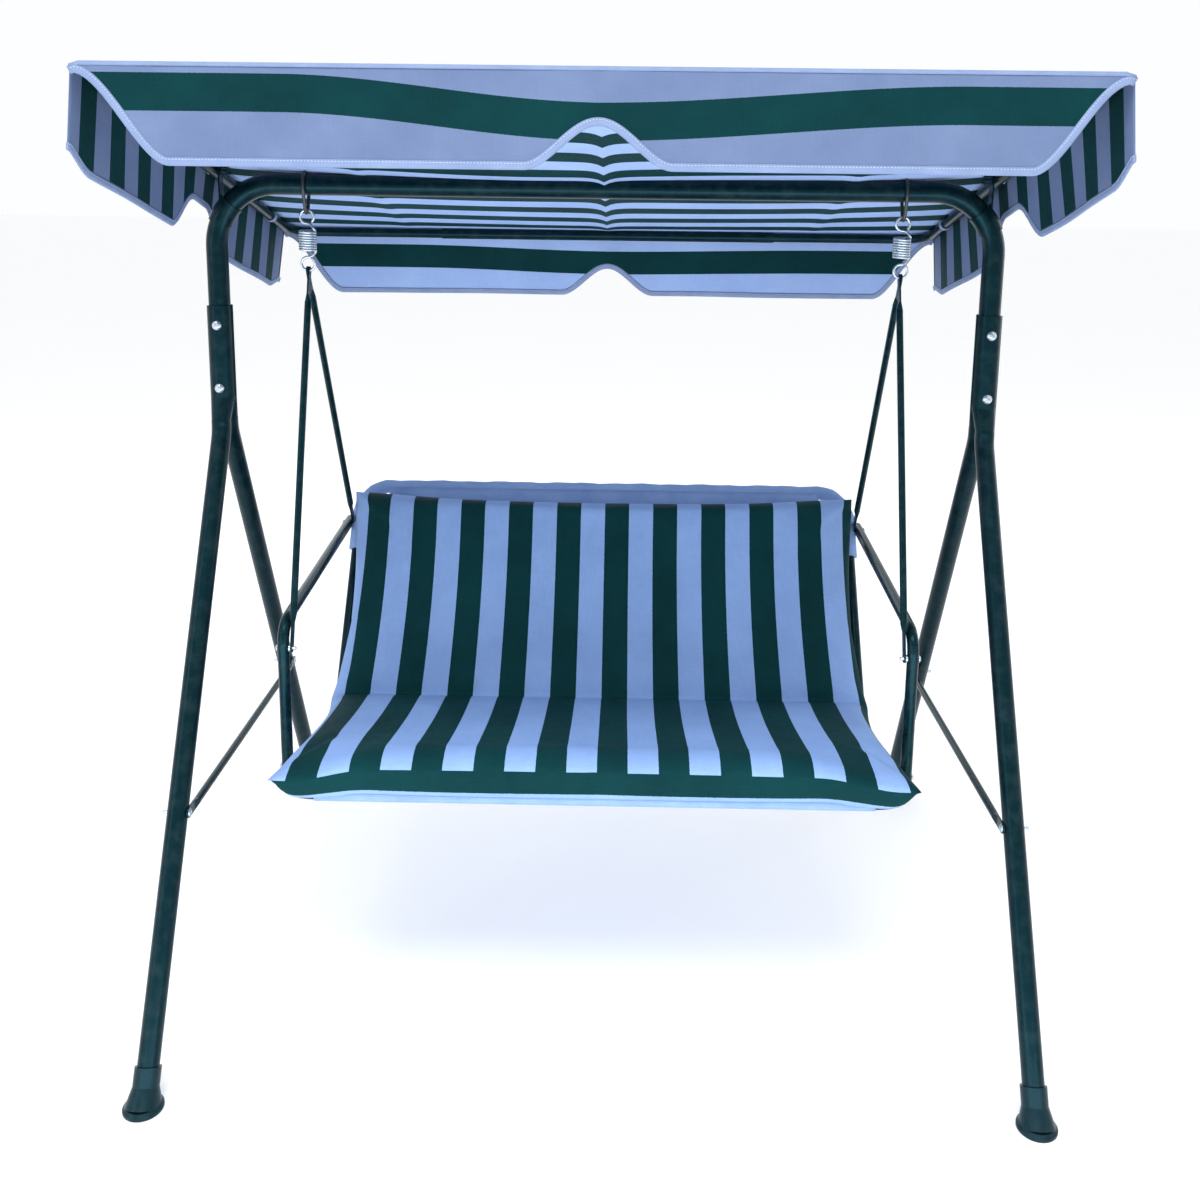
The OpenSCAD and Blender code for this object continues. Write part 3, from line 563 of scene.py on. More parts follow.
def put(tree, kind, settings=None, **sockets):
    """One node in a geometry tree; sockets go by index (i0) or by name."""
    node = tree.nodes.new(kind)
    for key, value in (settings or {}).items():
        setattr(node, key, value)
    for key, value in sockets.items():
        index = int(key[1:]) if key[0] == "i" and key[1:].isdigit() else key.replace("_", " ")
        socket = node.inputs[index]
        if isinstance(value, bpy.types.NodeSocket):
            tree.links.new(value, socket)
        else:
            socket.default_value = value
    return node


def close_tree(tree, given, out, shapes, smooth=False):
    """Joins what the tree made, makes it real and gives it the Finish input's material."""
    joined = tree.nodes.new("GeometryNodeJoinGeometry")
    for one in shapes:
        tree.links.new(one, joined.inputs[0])
    last = put(tree, "GeometryNodeRealizeInstances", i0=joined.outputs[0])
    if smooth:
        last = put(tree, "GeometryNodeSetShadeSmooth", Geometry=last.outputs[0])
    last = put(tree, "GeometryNodeSetMaterial", Geometry=last.outputs[0], Material=given.outputs["Finish"])
    tree.links.new(last.outputs[0], out.inputs[0])
    return tree


def run_tree(piece, tree, **values):
    """Puts the tree on a piece, sets its inputs by identifier, and makes it plain mesh."""
    modifier = piece.modifiers.new(tree.name, "NODES")
    modifier.node_group = tree
    identifiers = {s.name: s.identifier for s in tree.interface.items_tree if s.item_type == "SOCKET"}
    for key, value in values.items():
        modifier[identifiers[key.replace("_", " ")]] = value
    return settled(piece)


def named(tree, name):
    """A vector that each point carries, read by its name."""
    node = put(tree, "GeometryNodeInputNamedAttribute", {"data_type": "FLOAT_VECTOR"}, Name=name)
    return node.outputs["Attribute"]


def screw_tree():
    tree, given, out = node_tree("screws", [
        ("Head", "Object", None), ("Shank", "Object", None), ("Head Scale", "Float", 1.0),
        ("Finish", "Material", None)])
    turn = put(tree, "FunctionNodeAlignRotationToVector", {"axis": "Z"}, Vector=named(tree, "way"))
    sets = []
    for source, size in (("Head", "head"), ("Shank", "shank")):
        shape = put(tree, "GeometryNodeObjectInfo", Object=given.outputs[source], As_Instance=True)
        scale = named(tree, size)
        if source == "Head":
            scale = put(tree, "ShaderNodeVectorMath", {"operation": "SCALE"}, i0=scale,
                        Scale=given.outputs["Head Scale"]).outputs[0]
        placed = put(tree, "GeometryNodeInstanceOnPoints", Points=given.outputs["Geometry"],
                     Instance=shape.outputs["Geometry"], Rotation=turn.outputs[0], Scale=scale)
        sets.append(placed.outputs[0])
    return close_tree(tree, given, out, sets)


screw_tree = screw_tree()


def screws(name, places, body, node):
    """One piece of screws: each place is a point, a direction, a head width, a shank width and a length."""
    piece = piece_from(name, [p for p, *_ in places], [], zinc_plate)
    for key, values in (
        ("way", [w for _, w, *_ in places]),
        ("head", [(h, h, h) for _, _, h, _, _ in places]),
        ("shank", [(d, d, long) for *_, d, long in places]),
    ):
        attribute = piece.data.attributes.new(key, "FLOAT_VECTOR", "POINT")
        attribute.data.foreach_set("vector", np.array(values, np.float32).ravel())
    run_tree(piece, screw_tree, Head=head_shape, Shank=shank_shape, Finish=zinc_plate)
    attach(piece, body)
    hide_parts(node)
    print(name, len(places), "screws,", len(piece.data.polygons), "faces")
    return piece


# %% Put the screws where the CAD has them
corner = CREASE - fold_way * 0.0736             # where the seat's and the back's tubes would meet
arm_rear = (corner.y + (0.702 - corner.z) * math.tan(BACK_LEAN), 0.702)
arm_front = (-0.200, 0.676 - 0.040 * math.tan(math.radians(47)) - 0.008)
arm_low = (-0.200, corner.z + (corner.y + 0.200) * math.tan(SEAT_RISE))
leg_face, leg_nut = 0.0226, 0.0336
SMALL_HEAD, SMALL_SHANK, ARM_OUT = 0.013, 0.006, 0.5505
brace_y, brace_head_x = 0.32687, 0.6700
leg_places, brace_places, arm_places, tilt_places = [], [], [], []
for s in (-1, 1):
    for z in (1.046, 1.160):
        leg_places.append(((s * SIDE_X, -leg_face, z), (0, -1, 0), 0.017, 0.008, leg_face + leg_nut))
    for y in (-brace_y, brace_y):
        brace_places.append(((s * brace_head_x, y, 0.385), (-s, 0, 0), SMALL_HEAD, SMALL_SHANK, 0.045))
    for (y, z), inner in ((arm_rear, 0.4995), (arm_front, 0.5183), (arm_low, 0.4995)):
        arm_places.append(((s * ARM_OUT, y, z), (s, 0, 0), SMALL_HEAD, SMALL_SHANK, ARM_OUT - inner))
    tilt_places.append(((s * 0.6995, 0, PIVOT_Z), (s, 0, 0), SMALL_HEAD, SMALL_SHANK, 0.0315))
screws("leg_screws", leg_places, "stand", "leg_bolts")
screws("brace_screws", brace_places, "stand", "brace_bolts")
screws("arm_screws", arm_places, "seat", "arm_bolts")
screws("tilt_screws", tilt_places, "canopy", "tilt_bolts")

# %% [markdown]
# ## Springs wound from one wire
# Each spring is eight closed turns of zinc wire whose ends are bent up into open rings
# that face the front. The CAD parts stand for it with a plain drum. A curve follows a
# rule here, so Geometry Nodes draw it: a spiral for the turns, an arc for each ring, and
# a short curved piece of wire between them, all swept with one round section. The lower
# ring hangs on the rods, so the finished wire stretches between the two bodies.

# %% The spring tree
HANG_X, COIL_LOW, COIL_HIGH = 0.5274, 1.2922, 1.3322


def spring_tree():
    tree, given, out = node_tree("springs", [
        ("Turns", "Float", 8.0), ("Wire", "Float", 0.0048), ("Coil Radius", "Float", 0.0135),
        ("Coil Low", "Float", COIL_LOW), ("Coil High", "Float", COIL_HIGH),
        ("Ring Radius", "Float", 0.012), ("Upper Ring", "Float", 1.3537), ("Lower Ring", "Float", 1.2707),
        ("Side", "Float", HANG_X), ("Finish", "Material", None)])

    def value(label):
        return given.outputs[label]

    def maths(kind, a, b):
        return put(tree, "ShaderNodeMath", {"operation": kind}, i0=a, i1=b).outputs[0]

    def point(x, y, z):
        return put(tree, "ShaderNodeCombineXYZ", X=x, Y=y, Z=z).outputs[0]

    half = maths("MULTIPLY", value("Wire"), 0.5)
    tall = maths("SUBTRACT", maths("SUBTRACT", value("Coil High"), value("Coil Low")), value("Wire"))
    spiral = put(tree, "GeometryNodeCurveSpiral", Resolution=40, Rotations=value("Turns"),
                 Start_Radius=value("Coil Radius"), End_Radius=value("Coil Radius"), Height=tall)
    low = maths("ADD", value("Coil Low"), half)
    high = maths("SUBTRACT", value("Coil High"), half)
    turns = put(tree, "GeometryNodeTransform", Geometry=spiral.outputs[0], Translation=point(0.0, 0.0, low))
    wires = [turns.outputs[0]]
    for ring, coil_end, up in (("Upper Ring", high, 1), ("Lower Ring", low, -1)):
        arc = put(tree, "GeometryNodeCurveArc", {"mode": "RADIUS"}, Resolution=44,
                  Radius=value("Ring Radius"),
                  Start_Angle=math.radians(-90 * up), Sweep_Angle=math.radians(-318 * up))
        stood = put(tree, "GeometryNodeTransform", Geometry=arc.outputs[0],
                    Translation=point(0.0, 0.0, value(ring)), Rotation=(math.radians(90), 0, 0))
        ring_end = maths("SUBTRACT" if up > 0 else "ADD", value(ring), value("Ring Radius"))
        bend = put(tree, "GeometryNodeCurvePrimitiveBezierSegment", {"mode": "POSITION"}, Resolution=18,
                   Start=point(0.0, 0.0, ring_end), End=point(value("Coil Radius"), 0.0, coil_end),
                   Start_Handle=point(maths("MULTIPLY", value("Ring Radius"), 0.8), 0.0, ring_end),
                   End_Handle=point(value("Coil Radius"), maths("MULTIPLY", value("Coil Radius"), -0.75 * up),
                                    coil_end))
        wires += [stood.outputs[0], bend.outputs[0]]
    joined = tree.nodes.new("GeometryNodeJoinGeometry")
    for one in wires:
        tree.links.new(one, joined.inputs[0])
    section = put(tree, "GeometryNodeCurvePrimitiveCircle", {"mode": "RADIUS"}, Resolution=12, Radius=half)
    swept = put(tree, "GeometryNodeCurveToMesh", Curve=joined.outputs[0], Profile_Curve=section.outputs[0],
                Fill_Caps=True)
    moved = put(tree, "GeometryNodeTransform", Geometry=swept.outputs[0],
                Translation=point(value("Side"), 0.0, 0.0))
    return close_tree(tree, given, out, [moved.outputs[0]], smooth=True)


spring_tree = spring_tree()
for side, s in (("left", -1), ("right", 1)):
    spring = piece_from(f"wire_spring_{side}", [(0, 0, 0)], [], zinc_plate)
    run_tree(spring, spring_tree, Side=s * HANG_X, Finish=zinc_plate)
    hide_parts(f"spring_{side}", f"spring_hook_{side}")
    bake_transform(spring)
    print(spring.name, len(spring.data.polygons), "faces")

# %% [markdown]
# ## The cushion
# It is one long pillow, sewn across at the crease so that it folds between seat and
# back. The upper side is cut with its stripes running front to back, the under side with
# them running from side to side, which is why a green band shows below the front seam.
#
# A voxel remesh would lose the seam and the cut of the cloth, so the pillow is built as
# an even grid instead: an upper and an under sheet that share their outer seam, with the
# flat-cut coordinates already on them. A cloth simulation then blows it up against its
# seams, with the crease and the four corners held, and no point may move further than a
# cap. That gives the round edges, the pointed corners and the puckers of a real one.

# %% The line the cushion follows, seen from the side
CUSHION_HALF, CUSHION_THICK = 0.522, 0.060
FRONT_RAIL = (-0.3402, 0.4323)                  # the front rail's axis, as (y, z)
REST_GAP = 0.0025                               # how far above the sling it stops
RAIL_CLEAR = 0.0155                             # how near its axis the cushion may come
OVERHANG = 0.060                                # length of the front that hangs over the rail
long_all = SEAT_LONG + BACK_LONG


def cushion_line(s, depth):
    """A point of the cushion's layer at a depth below its upper side, s metres up from the crease."""
    seat_point = CREASE - seat_up * depth + seat_way * max(-s, 0)
    back_point = CREASE - back_up * depth + back_way * max(s, 0)
    soft = 0.055
    if abs(s) >= soft:
        return seat_point if s < 0 else back_point
    meet = CREASE - fold_way * depth
    low = CREASE - seat_up * depth + seat_way * soft
    high = CREASE - back_up * depth + back_way * soft
    t = (s + soft) / (2 * soft)
    return low * (1 - t) ** 2 + meet * (2 * t * (1 - t)) + high * t ** 2


def cushion_up(s):
    share = float(ease((s + 0.055) / 0.11))
    return (seat_up * (1 - share) + back_up * share).normalized()


def nose(distance, reach=0.040):
    """How full the pillow is at a distance inside its seam."""
    t = np.clip(distance / reach, 0, 1)
    return np.sqrt(np.clip(1 - (1 - t) ** 2, 0, 1))


print("cushion", round(2 * CUSHION_HALF, 3), "m wide,", round(long_all, 3), "m long")


# %% Build the pillow as two sheets with a shared seam
def pillow(columns=96, rows=78):
    points, seam, pinned, index = [], set(), set(), {}
    for side in (1, -1):
        for j in range(rows + 1):
            s = -SEAT_LONG + long_all * j / rows
            run = (s + SEAT_LONG) / SEAT_LONG if s < 0 else s / BACK_LONG
            half = CUSHION_HALF - 0.011 * math.sin(math.pi * min(max(run, 0), 1)) ** 0.8
            for i in range(columns + 1):
                edge = i in (0, columns) or j in (0, rows)
                if edge and side < 0:
                    index[side, i, j] = index[1, i, j]
                    continue
                x = half * (2 * i / columns - 1)
                bow = 0.006 * math.sin(math.pi * i / columns) * (1 if j < rows / 2 else -1)
                shift = bow * (1 - min((s + SEAT_LONG if s < 0 else BACK_LONG - s) / 0.08, 1))
                full = float(nose(half - abs(x)) * nose(s + SEAT_LONG, 0.034) * nose(BACK_LONG - s, 0.034))
                stitched = 1 - 0.52 * math.exp(-(s / 0.016) ** 2)
                thick = 0.5 * CUSHION_THICK * full * stitched * 0.80
                middle = cushion_line(s + shift, 0.5 * CUSHION_THICK)
                p = middle + cushion_up(s) * (side * thick)
                near = max(1 - (s + SEAT_LONG) / OVERHANG, 0)
                corner = float(ease((abs(x) - 0.36) / 0.14))
                p = p + seat_way * 0.012 * near + seat_up * (0.012 - 0.022 * corner) * near
                if side < 0:
                    p = p - seat_up * (0.034 - 0.008 * corner) * near * full
                index[side, i, j] = len(points)
                points.append((x, p.y, p.z))
                if edge:
                    seam.add(index[side, i, j])
                if abs(s) < 0.6 * long_all / rows or (edge and i in (0, columns) and j in (0, rows)):
                    pinned.add(index[side, i, j])
    faces, cuts = [], []
    for side in (1, -1):
        for j in range(rows):
            for i in range(columns):
                ring = [(i, j), (i + 1, j), (i + 1, j + 1), (i, j + 1)]
                if side < 0:
                    ring.reverse()
                faces.append([index[side, a, b] for a, b in ring])
                for a, b in ring:
                    x, s = CUSHION_HALF * (2 * a / columns - 1), long_all * b / rows
                    cuts.append((x, s) if side > 0 else (s - 0.495 + 0.037, x))
    return points, faces, cuts, sorted(seam), sorted(pinned)


pillow_points, pillow_faces, pillow_cuts, seam_points, held_points = pillow()
cushion = piece_from("cushion", pillow_points, pillow_faces, cushion_cloth)
set_cut(cushion, pillow_cuts)
print("pillow:", len(cushion.data.vertices), "points,", len(seam_points), "on the seam")


# %% Fill it by simulation
def inflate(piece, held, pressure, frames, cap):
    """Blows a closed cloth shape up; its held points stay, and none moves further than cap."""
    start = np.array([v.co for v in piece.data.vertices], float)
    group = piece.vertex_groups.new(name="held")
    group.add(held, 1.0, "REPLACE")
    cloth = piece.modifiers.new("fill", "CLOTH")
    rules = cloth.settings
    rules.quality, rules.mass = 6, 0.25
    rules.tension_stiffness = rules.compression_stiffness = 12
    rules.shear_stiffness, rules.bending_stiffness = 4, 0.15
    rules.use_pressure, rules.uniform_pressure_force = True, pressure
    rules.vertex_group_mass = "held"
    rules.effector_weights.gravity = 0
    cloth.collision_settings.use_collision = False
    cloth.point_cache.frame_start, cloth.point_cache.frame_end = 1, frames
    for f in range(1, frames + 1):
        scene.frame_set(f)
    graph = bpy.context.evaluated_depsgraph_get()
    mesh = piece.evaluated_get(graph).to_mesh()
    blown = np.array([v.co for v in mesh.vertices], float)
    piece.modifiers.clear()
    piece.vertex_groups.clear()
    scene.frame_set(1)
    move = blown - start
    far = np.linalg.norm(move, axis=1)
    move *= (cap * np.tanh(far / cap) / np.maximum(far, 1e-9))[:, None]
    piece.data.vertices.foreach_set("co", (start + move).astype(np.float32).ravel())
    piece.data.update()
    print(piece.name, "swelled by", round(float(far.mean()) * 1000, 1), "mm on average")


inflate(cushion, held_points, pressure=4.5, frames=20, cap=0.012)


# %% Keep the seam a ridge, smooth the rest and rest it on the sling
def ridge_and_smooth(piece, seam):
    mesh = piece.data
    on_seam = set(seam)
    creases = mesh.attributes.new("crease_edge", "FLOAT", "EDGE")
    creases.data.foreach_set("value", [0.75 if set(e.vertices) <= on_seam else 0.0 for e in mesh.edges])
    step = piece.modifiers.new("round", "SUBSURF")
    step.levels = step.render_levels = 1
    settled(piece)
    piece.data.polygons.foreach_set("use_smooth", [True] * len(piece.data.polygons))
    return piece


def rest_on_sling(piece):
    """Nothing of the cushion goes below the cloth it lies on."""
    co = np.array([v.co for v in piece.data.vertices], float)
    for up, way in ((seat_up, seat_way), (back_up, back_way)):
        normal, base = np.array(up), np.array(CREASE - up * (CUSHION_THICK - REST_GAP))
        along = (co - np.array(CREASE)) @ np.array(way)
        depth = (co - base) @ normal
        under = (along > 0.02) & (along < 0.385) & (depth < 0)
        co[under] -= depth[under][:, None] * normal
    away = co[:, 1:] - np.array(FRONT_RAIL)
    far = np.linalg.norm(away, axis=1)
    inside = far < RAIL_CLEAR
    co[inside, 1:] = FRONT_RAIL + away[inside] * (RAIL_CLEAR / far[inside])[:, None]
    piece.data.vertices.foreach_set("co", co.astype(np.float32).ravel())
    piece.data.update()


ridge_and_smooth(cushion, seam_points)
rest_on_sling(cushion)
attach(cushion, "seat")
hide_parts("seat_cushion", "back_cushion")
low, high = cushion.bound_box[0], cushion.bound_box[6]
print("cushion box", [round(v, 3) for v in (*low, *high)], len(cushion.data.polygons), "faces")

# %% [markdown]
# ## The sling under the cushion
# One strip of open-weave cloth is stretched from the front rail to the top rail and
# sewn round both. Its upper end is a sleeve that follows the rail round its corners,
# so a pale band shows above the cushion. The strip is a sheet along the frame's line,
# a little slack between the rails. The sleeve is a tube of cloth swept along the rail.

# %% Stretch the strip between the rails
SLING_OFF = 0.0124                              # the sling's middle, off the tubes' axes
SEAT_FRAME, BACK_FRAME, FRAME_HALF = 0.420, 0.500, 0.5165
seat_front = corner + seat_way * SEAT_FRAME
back_top = corner + back_way * BACK_FRAME


def arc_points(centre, start, end, steps):
    """Points from start to end round a centre, in the plane they span."""
    a, b = start - centre, end - centre
    turn = a.angle(b)
    axis = a.cross(b).normalized() if a.cross(b).length > 1e-9 else Vector((1, 0, 0))
    return [centre + Matrix.Rotation(turn * k / steps, 3, axis) @ a for k in range(steps + 1)]


def sling_line():
    below, ahead, above = (seat_front + way * SLING_OFF for way in (-seat_up, seat_way, seat_up))
    front_roll = arc_points(seat_front, below, ahead, 6) + arc_points(seat_front, ahead, above, 6)[1:]
    bend = corner + fold_way * SLING_OFF
    seat_end = bend + seat_way * 0.075
    back_start = bend + back_way * 0.075
    seat_run = [front_roll[-1].lerp(seat_end, k / 26) for k in range(1, 27)]
    turn = []
    for k in range(1, 13):
        t = k / 13
        turn.append(seat_end * (1 - t) ** 2 + bend * (2 * t * (1 - t)) + back_start * t ** 2)
    back_end = back_top + back_up * SLING_OFF - back_way * 0.004
    back_run = [back_start.lerp(back_end, k / 30) for k in range(0, 31)]
    hem = [front_roll[0] - seat_way * 0.055 * (1 - k / 5) for k in range(5)]
    return hem + front_roll + seat_run + turn + back_run


line = sling_line()
run = [0.0]
for a, b in zip(line, line[1:]):
    run.append(run[-1] + (b - a).length)
HALF_STRIP, COLUMNS = 0.4565, 60
strip_points, strip_faces, strip_cuts = [], [], []
for j, p in enumerate(line):
    for i in range(COLUMNS + 1):
        x = HALF_STRIP * (2 * i / COLUMNS - 1)
        free = math.sin(math.pi * min(max((run[j] - 0.10) / (run[-1] - 0.16), 0), 1))
        slack = 0.004 * free * (1 - (x / HALF_STRIP) ** 2)
        down = Vector((0, 0.45, -0.9)) * slack
        strip_points.append((x * (1 - 0.010 * free), p.y + down.y, p.z + down.z))
for j in range(len(line) - 1):
    for i in range(COLUMNS):
        a = j * (COLUMNS + 1) + i
        strip_faces.append((a, a + COLUMNS + 1, a + COLUMNS + 2, a + 1))
        for k, m in ((i, j), (i, j + 1), (i + 1, j + 1), (i + 1, j)):
            strip_cuts.append((HALF_STRIP * (2 * k / COLUMNS - 1), run[m]))
sling = piece_from("sling_strip", strip_points, strip_faces, sling_weave)
set_cut(sling, strip_cuts)
print("sling strip", round(run[-1], 3), "m long")


def thicken(piece, thickness, offset=0.0):
    wall = piece.modifiers.new("wall", "SOLIDIFY")
    wall.thickness, wall.offset = thickness, offset
    return settled(piece)


thicken(sling, 0.0014)


# %% Sweep the sleeve round the top rail
def swept(name, path, section_at, finish, closed_section=True, caps=True):
    """A skin over sections: section_at(k) gives the points round the path's point k."""
    rings = [section_at(k) for k in range(len(path))]
    n = len(rings[0])
    points = [p for ring in rings for p in ring]
    lengths, round_it = [0.0], [0.0]
    for a, b in zip(path, path[1:]):
        lengths.append(lengths[-1] + (Vector(b) - Vector(a)).length)
    for a, b in zip(rings[0], rings[0][1:] + rings[0][:1]):
        round_it.append(round_it[-1] + (Vector(b) - Vector(a)).length)
    faces, cuts = [], []
    for k in range(len(path) - 1):
        for j in range(n if closed_section else n - 1):
            m = (j + 1) % n
            faces.append((k * n + j, (k + 1) * n + j, (k + 1) * n + m, k * n + m))
            cuts += [(lengths[k], round_it[j]), (lengths[k + 1], round_it[j]),
                     (lengths[k + 1], round_it[j + 1]), (lengths[k], round_it[j + 1])]
    if caps and closed_section:
        faces.append(tuple(range(n)))
        cuts += [(0.0, round_it[j]) for j in range(n)]
        faces.append(tuple((len(path) - 1) * n + j for j in reversed(range(n))))
        cuts += [(lengths[-1], round_it[j]) for j in reversed(range(n))]
    piece = piece_from(name, points, faces, finish)
    set_cut(piece, cuts)
    outward(piece)
    return piece


def outward(piece):
    """Turns every face outward on a closed shape."""
    shape = bmesh.new()
    shape.from_mesh(piece.data)
    bmesh.ops.recalc_face_normals(shape, faces=shape.faces)
    shape.to_mesh(piece.data)
    shape.free()
    piece.data.update()


def rail_route(low=0.36, bend=0.060, steps=10):
    """The top rail's axis from one side tube over the top to the other, as (x, up the back)."""
    route = [(-FRAME_HALF, low)]
    for k in range(steps + 1):
        a = math.pi * 0.5 * k / steps
        route.append((-FRAME_HALF + bend - bend * math.cos(a), BACK_FRAME - bend + bend * math.sin(a)))
    straight = [(x, BACK_FRAME) for x in np.linspace(-FRAME_HALF + bend, FRAME_HALF - bend, 50)[1:-1]]
    return route + straight + [(-x, s) for x, s in reversed(route)]


rail = rail_route()
rail_path = [corner + back_way * s + Vector((x, 0, 0)) for x, s in rail]


def sleeve_section(k):
    a, b = rail_path[max(k - 1, 0)], rail_path[min(k + 1, len(rail_path) - 1)]
    way = (b - a).normalized()
    out = way.cross(back_up).normalized()
    ring = []
    for j in range(20):
        angle = 2 * math.pi * j / 20
        wrinkle = 0.0006 * math.sin(k * 1.9 + 3 * angle) + 0.0005 * math.sin(k * 0.83 + angle)
        radius = 0.0128 + wrinkle
        flat = 1.25 if math.cos(angle) > 0.75 else 1.0
        ring.append(rail_path[k] + back_up * (math.sin(angle) * radius)
                    + out * (math.cos(angle) * radius * flat) * -1)
    return ring


sleeve = swept("sling_sleeve", rail_path, sleeve_section, sling_weave)
for piece in (sling, sleeve):
    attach(piece, "seat")
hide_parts("sling")
print("sleeve", len(sleeve.data.polygons), "faces")

# %% [markdown]
# ## The canopy's roof
# The roof is one sheet pinned over a rectangle of tube. It hangs a little between the
# rails, and it still shows the folds it was packed in: one sharp crease in the middle
# and one near each side, all running front to back, where the stripes jog. The edge
# bends down over the tube into the flaps, so the sheet ends in a small roll.

# %% Folds, sag and the roof sheet
ROOF_HALF, ROOF_LONG, ROOF_UP = 0.709, 0.524, 0.0124
CUT_START = 0.062                               # where the roof's first stripe is cut
PACK_FOLDS = ((-0.43, 0.0045), (0.0, 0.0090), (0.44, 0.0050))


def pack_fold(x):
    """Depth of the packing creases at a distance across the canopy."""
    return sum(deep * math.exp(-abs(x - at) / 0.014) for at, deep in PACK_FOLDS)


def roof_height(x, y):
    across, along = x / 0.69, y / 0.505
    bay = max(0.0, 1 - across ** 2) * max(0.0, 1 - along ** 2)
    ripple = 0.0035 * math.sin(7.5 * x + 2.0 * math.sin(4 * y)) * math.cos(3.1 * y + 0.6)
    edge = max(abs(x) - 0.700, 0) / 0.009, max(abs(y) - 0.515, 0) / 0.009
    roll = 0.004 * (min(edge[0], 1) ** 2 + min(edge[1], 1) ** 2)
    return ROOF_UP - 0.024 * bay ** 0.75 - pack_fold(x) * bay ** 0.5 + ripple * bay - roll


def grid_sheet(name, columns, rows, place, cut, finish):
    """A sheet from a function of column and row shares; cut gives its flat coordinates."""
    points = [place(i / columns, j / rows) for j in range(rows + 1) for i in range(columns + 1)]
    faces, cuts = [], []
    for j in range(rows):
        for i in range(columns):
            a = j * (columns + 1) + i
            faces.append((a, a + 1, a + columns + 2, a + columns + 1))
            for k, m in ((i, j), (i + 1, j), (i + 1, j + 1), (i, j + 1)):
                cuts.append(cut(k / columns, m / rows))
    piece = piece_from(name, points, faces, finish)
    set_cut(piece, cuts)
    return piece


def roof_place(u, v):
    x, y = ROOF_HALF * (2 * u - 1), ROOF_LONG * (2 * v - 1)
    return tilt @ Vector((x, y, roof_height(x, y)))


def roof_cut(u, v):
    return (2 * ROOF_LONG * v + CUT_START, ROOF_HALF * (2 * u - 1))


# the roof's cloth has its whites brightened as painted light
roof = grid_sheet("canopy_roof_sheet", 150, 96, roof_place, roof_cut, canopy_cloth)
thicken(roof, 0.0010)
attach(roof, "canopy")
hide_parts("canopy_roof")
print("roof", len(roof.data.polygons), "faces")

# %% [markdown]
# ## The scalloped flaps
# A flap hangs from each edge of the roof. Its lower edge swings up to a notch in the
# middle and in an S at both ends. The front and rear flaps have their stripes along the
# edge, and the cloth was sewn on with the band dipping to the middle; the side flaps
# carry the roof's stripes on downwards. Each hangs in slow waves that grow with depth.

# %% The scallops' outlines
FLAP_DEEP, NOTCH_DEEP, FLAP_HALF = 0.135, 0.076, 0.707
SIDE_FLAP_HALF = 0.522


def end_depth(x):
    """Depth of the front or rear flap at a distance from its middle."""
    x = abs(x)
    return float(NOTCH_DEEP + (FLAP_DEEP - NOTCH_DEEP) * ease(x / 0.100)
                 - (FLAP_DEEP - 0.014) * ease((x - FLAP_HALF + 0.125) / 0.125))


def side_depth(y):
    """Depth of a side flap in the same way; its corners stay deep."""
    y = abs(y)
    return float(NOTCH_DEEP - 0.010 + (FLAP_DEEP - NOTCH_DEEP + 0.010) * ease((y - 0.030) / 0.110)
                 - 0.024 * ease((y - SIDE_FLAP_HALF + 0.090) / 0.090))


def wave(x, seed):
    """A slow sideways wave of a hanging flap, at most about one either way."""
    return (0.55 * math.sin(5.2 * x + seed) + 0.3 * math.sin(12.7 * x + 2.1 * seed)
            + 0.15 * math.sin(27 * x + 3.3 * seed))


def end_place(way, x, drop):
    """A point of the front (-1) or rear (1) flap, drop metres below the roof's edge."""
    edge = tilt @ Vector((x, way * ROOF_LONG, roof_height(x, way * ROOF_LONG)))
    share = drop / FLAP_DEEP
    out = 0.013 * wave(x, 0.7 if way < 0 else 2.6) * share + 0.004 * share
    crease = 0.6 * pack_fold(x) * min(share * 3, 1)
    top = min(drop / 0.006, 1)
    return edge + Vector((0, way * (0.0015 * math.sqrt(top) + out - crease), -drop))


def band_start(x):
    """Width of the pale band above the green one, wider towards the middle."""
    reach = 0.43 if x < 0 else 0.50
    low = 0.013 if x < 0 else 0.020
    return low + (0.046 - low) * float(ease(1 - abs(x) / reach))


def side_place(s, y, drop):
    """A point of a side flap: s is -1 on the left and 1 on the right."""
    local = y / math.cos(CANOPY_TILT)
    edge = tilt @ Vector((s * ROOF_HALF, local, roof_height(s * ROOF_HALF, local)))
    share = drop / FLAP_DEEP
    out = 0.016 * share + 0.008 * wave(y, 1.3 + s) * share
    return edge + Vector((s * out, 0, -drop))


print("notch", NOTCH_DEEP, "flap", FLAP_DEEP)


# %% Cut and hang the four flaps
def flap(name, half, depth, place, cut, node, columns, finish, rows=18):
    def at(u, v):
        t = half * (2 * u - 1)
        return place(t, depth(t) * (1 - v))

    def flat(u, v):
        t = half * (2 * u - 1)
        return cut(t, depth(t) * (1 - v))

    piece = grid_sheet(name, columns, rows, at, flat, finish)
    thicken(piece, 0.0010)
    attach(piece, "canopy")
    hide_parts(node)
    return piece


def cut_area(half, depth, steps=400):
    return sum(depth(half * (2 * (k + 0.5) / steps - 1)) for k in range(steps)) * 2 * half / steps


def side_cut(t, d):
    """A side flap is cut on from the roof, so its stripes carry on from there."""
    return t / math.cos(CANOPY_TILT) + ROOF_LONG + CUT_START, d


